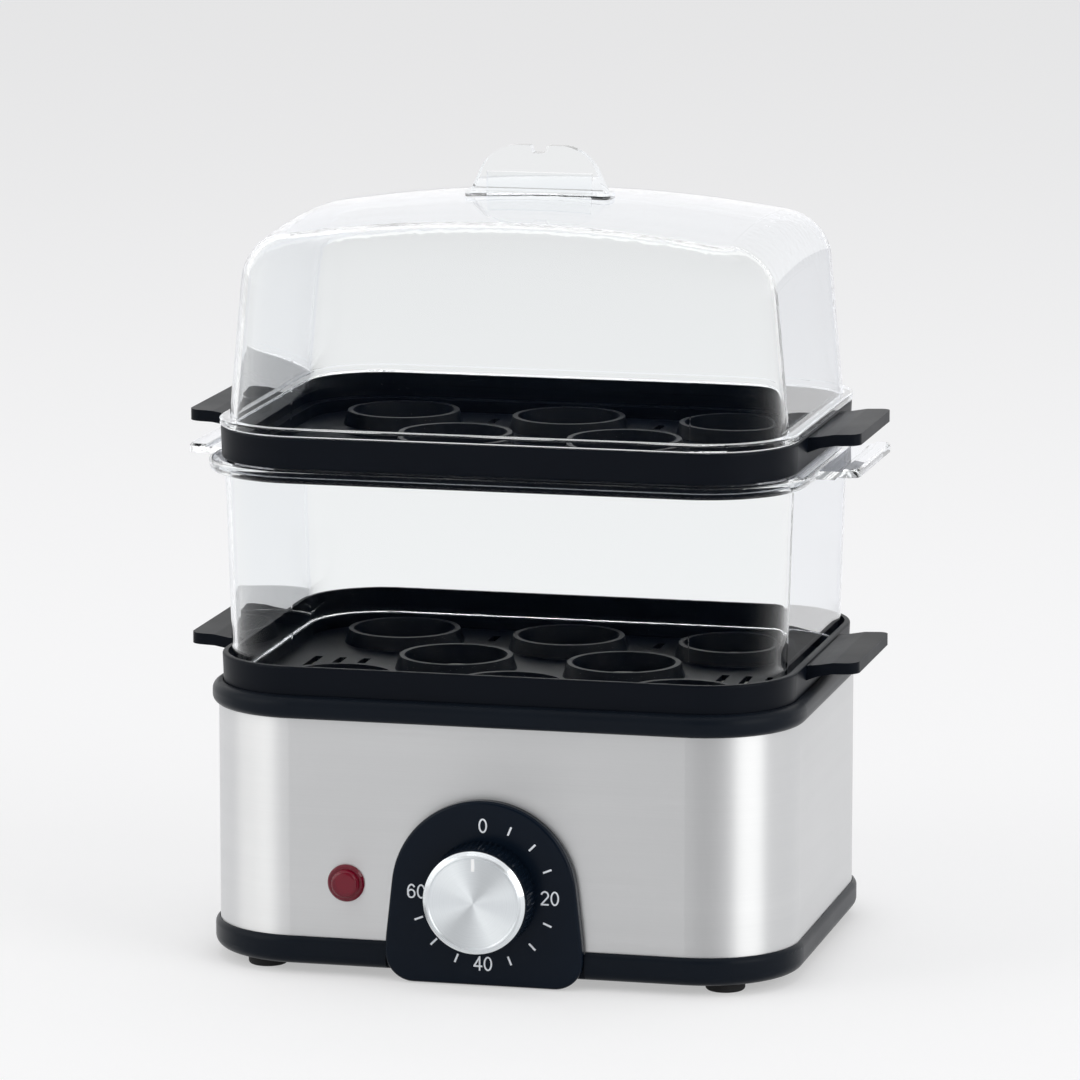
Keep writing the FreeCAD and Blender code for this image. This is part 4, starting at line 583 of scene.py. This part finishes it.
ALUMINIUM_BRIGHT = (0.88, 0.915, 0.94)
ALUMINIUM_DULL = (0.71, 0.745, 0.77)
TURNED_GLOSS = (0.36, 0.46)
TURNING_LINES = 5200.0
TURNING_DEPTH = 0.000008
CAP_SINK = 0.00024
CAP_FACE = cap_low[1] + CAP_SINK
CAP_RADIUS = (cap_high[0] - cap_low[0]) / 2
CAP_BEVEL = 0.0012
BEVEL_EDGE = 0.8
BEVEL_POLISH = 0.35
POINTER_RADIUS = 0.0122
POINTER_LENGTH = 0.0040
POINTER_WIDTH = 0.0010
POINTER_WHITE = (0.93, 0.94, 0.95)


def build_spun_aluminium():
    """Fine rings round the cap's centre, finer and brighter on its bevel."""
    material, tree, shader = start_material(
        "spun_aluminium", ALUMINIUM_BRIGHT, Metallic=1.0, Anisotropic=0.95, Anisotropic_Rotation=0.25
    )
    around = add_node(tree, "ShaderNodeTangent", direction_type="RADIAL", axis="Y")
    tree.links.new(around.outputs["Tangent"], shader.inputs["Tangent"])
    centre = (DIAL_X, 0.0, DIAL_Z)
    apart = add_node(tree, "ShaderNodeVectorMath", {0: object_place(tree), 1: centre}, operation="SUBTRACT")
    flat = add_node(
        tree,
        "ShaderNodeVectorMath",
        {0: apart.outputs["Vector"], 1: (1.0, 0.0, 1.0)},
        operation="MULTIPLY",
    )
    length = add_node(tree, "ShaderNodeVectorMath", {0: flat.outputs["Vector"]}, operation="LENGTH")
    distance = length.outputs["Value"]
    turned = add_node(
        tree,
        "ShaderNodeTexNoise",
        {"W": distance, "Scale": TURNING_LINES, "Detail": 2.0},
        noise_dimensions="1D",
    )
    rings = turned.outputs["Fac"]
    gloss = map_range(tree, rings, *NOISE_SPREAD, *TURNED_GLOSS)
    bevel_starts = CAP_RADIUS - CAP_BEVEL
    bevel_full = CAP_RADIUS - CAP_BEVEL * BEVEL_EDGE
    polish = map_range(tree, distance, bevel_starts, bevel_full, 1.0, BEVEL_POLISH)
    body = mix_colours(tree, rings, ALUMINIUM_DULL, ALUMINIUM_BRIGHT)
    tree.links.new(body, shader.inputs["Base Color"])
    tree.links.new(add_math(tree, "MULTIPLY", gloss, polish), shader.inputs["Roughness"])
    add_relief(tree, shader, rings, TURNING_DEPTH, strength=0.6)
    return material


finish_nodes(build_spun_aluminium(), "knob_cap")
finish_nodes(dial_gloss, "timer_knob")
pointer_white = plastic_finish(
    "pointer_white",
    POINTER_WHITE,
    POINTER_WHITE,
    grain=3000.0,
    gloss=(0.4, 0.5),
    depth=0.000002,
    wear=0.0,
    width=0.0001,
)
pointer = bmesh.new()
add_bar(pointer, 0.0, POINTER_RADIUS, POINTER_LENGTH, POINTER_WIDTH, CAP_FACE, 2 * PRINT_THICKNESS)
add_piece("knob_pointer", pointer, "knob", pointer_white)


# ---------------------------------------------------------------- lamp
# A red translucent lens pushed through the steel, held by a nylon clip behind, with a neon bulb in
# its barrel.

LAMP_RED = (0.36, 0.0030, 0.035)
LAMP_CLARITY = 0.6
LAMP_SHINE = 0.18
LENS_RIPPLE = 0.00002
BULB_GLASS = (0.80, 0.72, 0.62)
BULB_CLARITY = 0.6


def build_lamp_red():
    material, tree, shader = start_material(
        "lamp_red", LAMP_RED, IOR=1.49, Transmission_Weight=LAMP_CLARITY, Specular_IOR_Level=LAMP_SHINE
    )
    surface = place_grain(tree, shader, 1200.0, (0.08, 0.18))
    add_relief(tree, shader, surface["Mottle"], LENS_RIPPLE, strength=0.4)
    return material


def build_bulb_glass():
    material, tree, shader = start_material(
        "bulb_glass", BULB_GLASS, IOR=1.5, Transmission_Weight=BULB_CLARITY
    )
    place_grain(tree, shader, 600.0, (0.05, 0.2))
    return material


finish_nodes(build_lamp_red(), "lamp_lens")
finish_nodes(build_bulb_glass(), "lamp_bulb")
finish_nodes(white_nylon, "lamp_clip")


# ---------------------------------------------------------------- cord gland and terminal block
# A rubber bushing snapped into the rear of the steel band, and the terminal block that the mains
# lead would end in, screwed to the base's floor behind it.

finish_nodes(foot_rubber, "cord_gland")
finish_nodes(white_nylon, "terminal_block")
finish_nodes(zinc_plate, "terminal_screw")


# ---------------------------------------------------------------- top ring
# The ring caps the steel band, carries the heating plate on its ledge and has four posts that the
# base's long screws bite into. It is moulded in the same satin black as the base.

finish_nodes(black_moulding, "top_ring")


# ---------------------------------------------------------------- heating plate and what hangs beneath
# A pressed stainless dish on a silicone gasket. Beneath it a cast aluminium spreader with the
# sheathed element, a thermostat and a thermal fuse is pulled up by a strap and a nut.

DISH_BRIGHT = (0.66, 0.65, 0.63)
DISH_SCALE = (0.52, 0.50, 0.46)
CAST_ALUMINIUM = (0.60, 0.60, 0.61)
CAST_DARK = (0.42, 0.42, 0.43)
SHEATH = (0.26, 0.24, 0.22)
SHEATH_BLUE = (0.16, 0.17, 0.22)
SILICONE = (0.62, 0.60, 0.56)
SILICONE_WORN = (0.70, 0.68, 0.64)
PHENOLIC = (0.030, 0.020, 0.016)
PHENOLIC_WORN = (0.08, 0.05, 0.04)

dish_steel = metal_finish(
    "dish_steel", DISH_BRIGHT, DISH_SCALE, gloss=(0.22, 0.42), spots=500.0, depth=0.00001
)
cast_aluminium = metal_finish(
    "cast_aluminium", CAST_ALUMINIUM, CAST_DARK, gloss=(0.45, 0.6), spots=420.0, depth=0.00008
)
element_sheath = metal_finish(
    "element_sheath", SHEATH, SHEATH_BLUE, gloss=(0.35, 0.55), spots=800.0, depth=0.00002
)
white_silicone = rubber_finish("white_silicone", SILICONE, SILICONE_WORN)
brown_phenolic = plastic_finish(
    "brown_phenolic", PHENOLIC, PHENOLIC_WORN, grain=900.0, gloss=(0.3, 0.45), depth=0.00003, wear=0.3
)
finish_nodes(dish_steel, "heating_plate")
finish_nodes(white_silicone, "plate_gasket")
finish_nodes(cast_aluminium, "heat_spreader")
finish_nodes(element_sheath, "heater_element")
finish_nodes(brown_phenolic, "thermostat")
finish_nodes(zinc_plate, "thermal_fuse", "plate_strap", "strap_nut")


# ---------------------------------------------------------------- egg trays
# Two like trays of black polypropylene, each with eight egg cups through its floor, drain slots and
# a gull-wing handle at both ends. They lift off the stack by hand.

TRAY_BLACK = (0.0020, 0.0034, 0.0066)
TRAY_WORN = (0.022, 0.026, 0.034)

tray_moulding = plastic_finish(
    "tray_moulding",
    TRAY_BLACK,
    TRAY_WORN,
    grain=3600.0,
    gloss=(0.33, 0.43),
    depth=0.000003,
    wear=0.6,
    level=0.08,
)
finish_nodes(tray_moulding, "lower_tray", "upper_tray")


# ---------------------------------------------------------------- steam box and lid
# The bottomless box and the domed lid are injection moulded in clear styrene-acrylonitrile. Light
# passes straight through their walls, and their rims and ribs catch it along the edges.

CLEAR_TINT = (0.975, 0.985, 0.985)
CLEAR_EDGE = (0.58, 0.64, 0.85)
CLEAR_INDEX = 1.25
CLEAR_SHINE = (0.0, 0.0, 0.0, 1.0)
CLEAR_RIPPLE = 0.00008
OPEN_AIR = (0.94, 0.95, 0.96, 1.0)
EDGE_BLEND = 0.35
EDGE_TINT_SPREAD = (0.5, 0.95)
EDGE_GLINT_SPREAD = (0.12, 0.6)
TRAPPED_AFTER = 5.5


def build_clear_plastic():
    """Clear moulding: no shine face on, glints and a blue-grey tint where it is seen edge on.

    Lamps shine straight through it, and so does light that has turned too often inside its rims.
    """
    material, tree, shader = start_material(
        "clear_plastic",
        CLEAR_TINT,
        IOR=CLEAR_INDEX,
        Transmission_Weight=1.0,
        Specular_Tint=CLEAR_SHINE,
    )
    surface = place_grain(tree, shader, 300.0, (0.0, 0.03))
    add_relief(tree, shader, surface["Mottle"], CLEAR_RIPPLE, strength=0.3)
    slant = add_node(tree, "ShaderNodeLayerWeight", {"Blend": EDGE_BLEND}).outputs["Facing"]
    edge = map_range(tree, slant, *EDGE_TINT_SPREAD)
    tree.links.new(mix_colours(tree, edge, CLEAR_TINT, CLEAR_EDGE), shader.inputs["Base Color"])
    glint = map_range(tree, slant, *EDGE_GLINT_SPREAD)
    tree.links.new(glint, shader.inputs["Coat Weight"])
    path = add_node(tree, "ShaderNodeLightPath").outputs
    passing = add_math(tree, "MAXIMUM", path["Is Shadow Ray"], path["Is Diffuse Ray"])
    trapped = add_math(tree, "GREATER_THAN", path["Ray Depth"], TRAPPED_AFTER)
    straight = add_math(tree, "MAXIMUM", passing, trapped)
    open_air = add_node(tree, "ShaderNodeBsdfTransparent", {"Color": OPEN_AIR})
    whole = add_node(
        tree, "ShaderNodeMixShader", {0: straight, 1: shader.outputs["BSDF"], 2: open_air.outputs["BSDF"]}
    )
    tree.links.new(whole.outputs["Shader"], tree.nodes["Material Output"].inputs["Surface"])
    return material


finish_nodes(build_clear_plastic(), "steam_box", "lid")
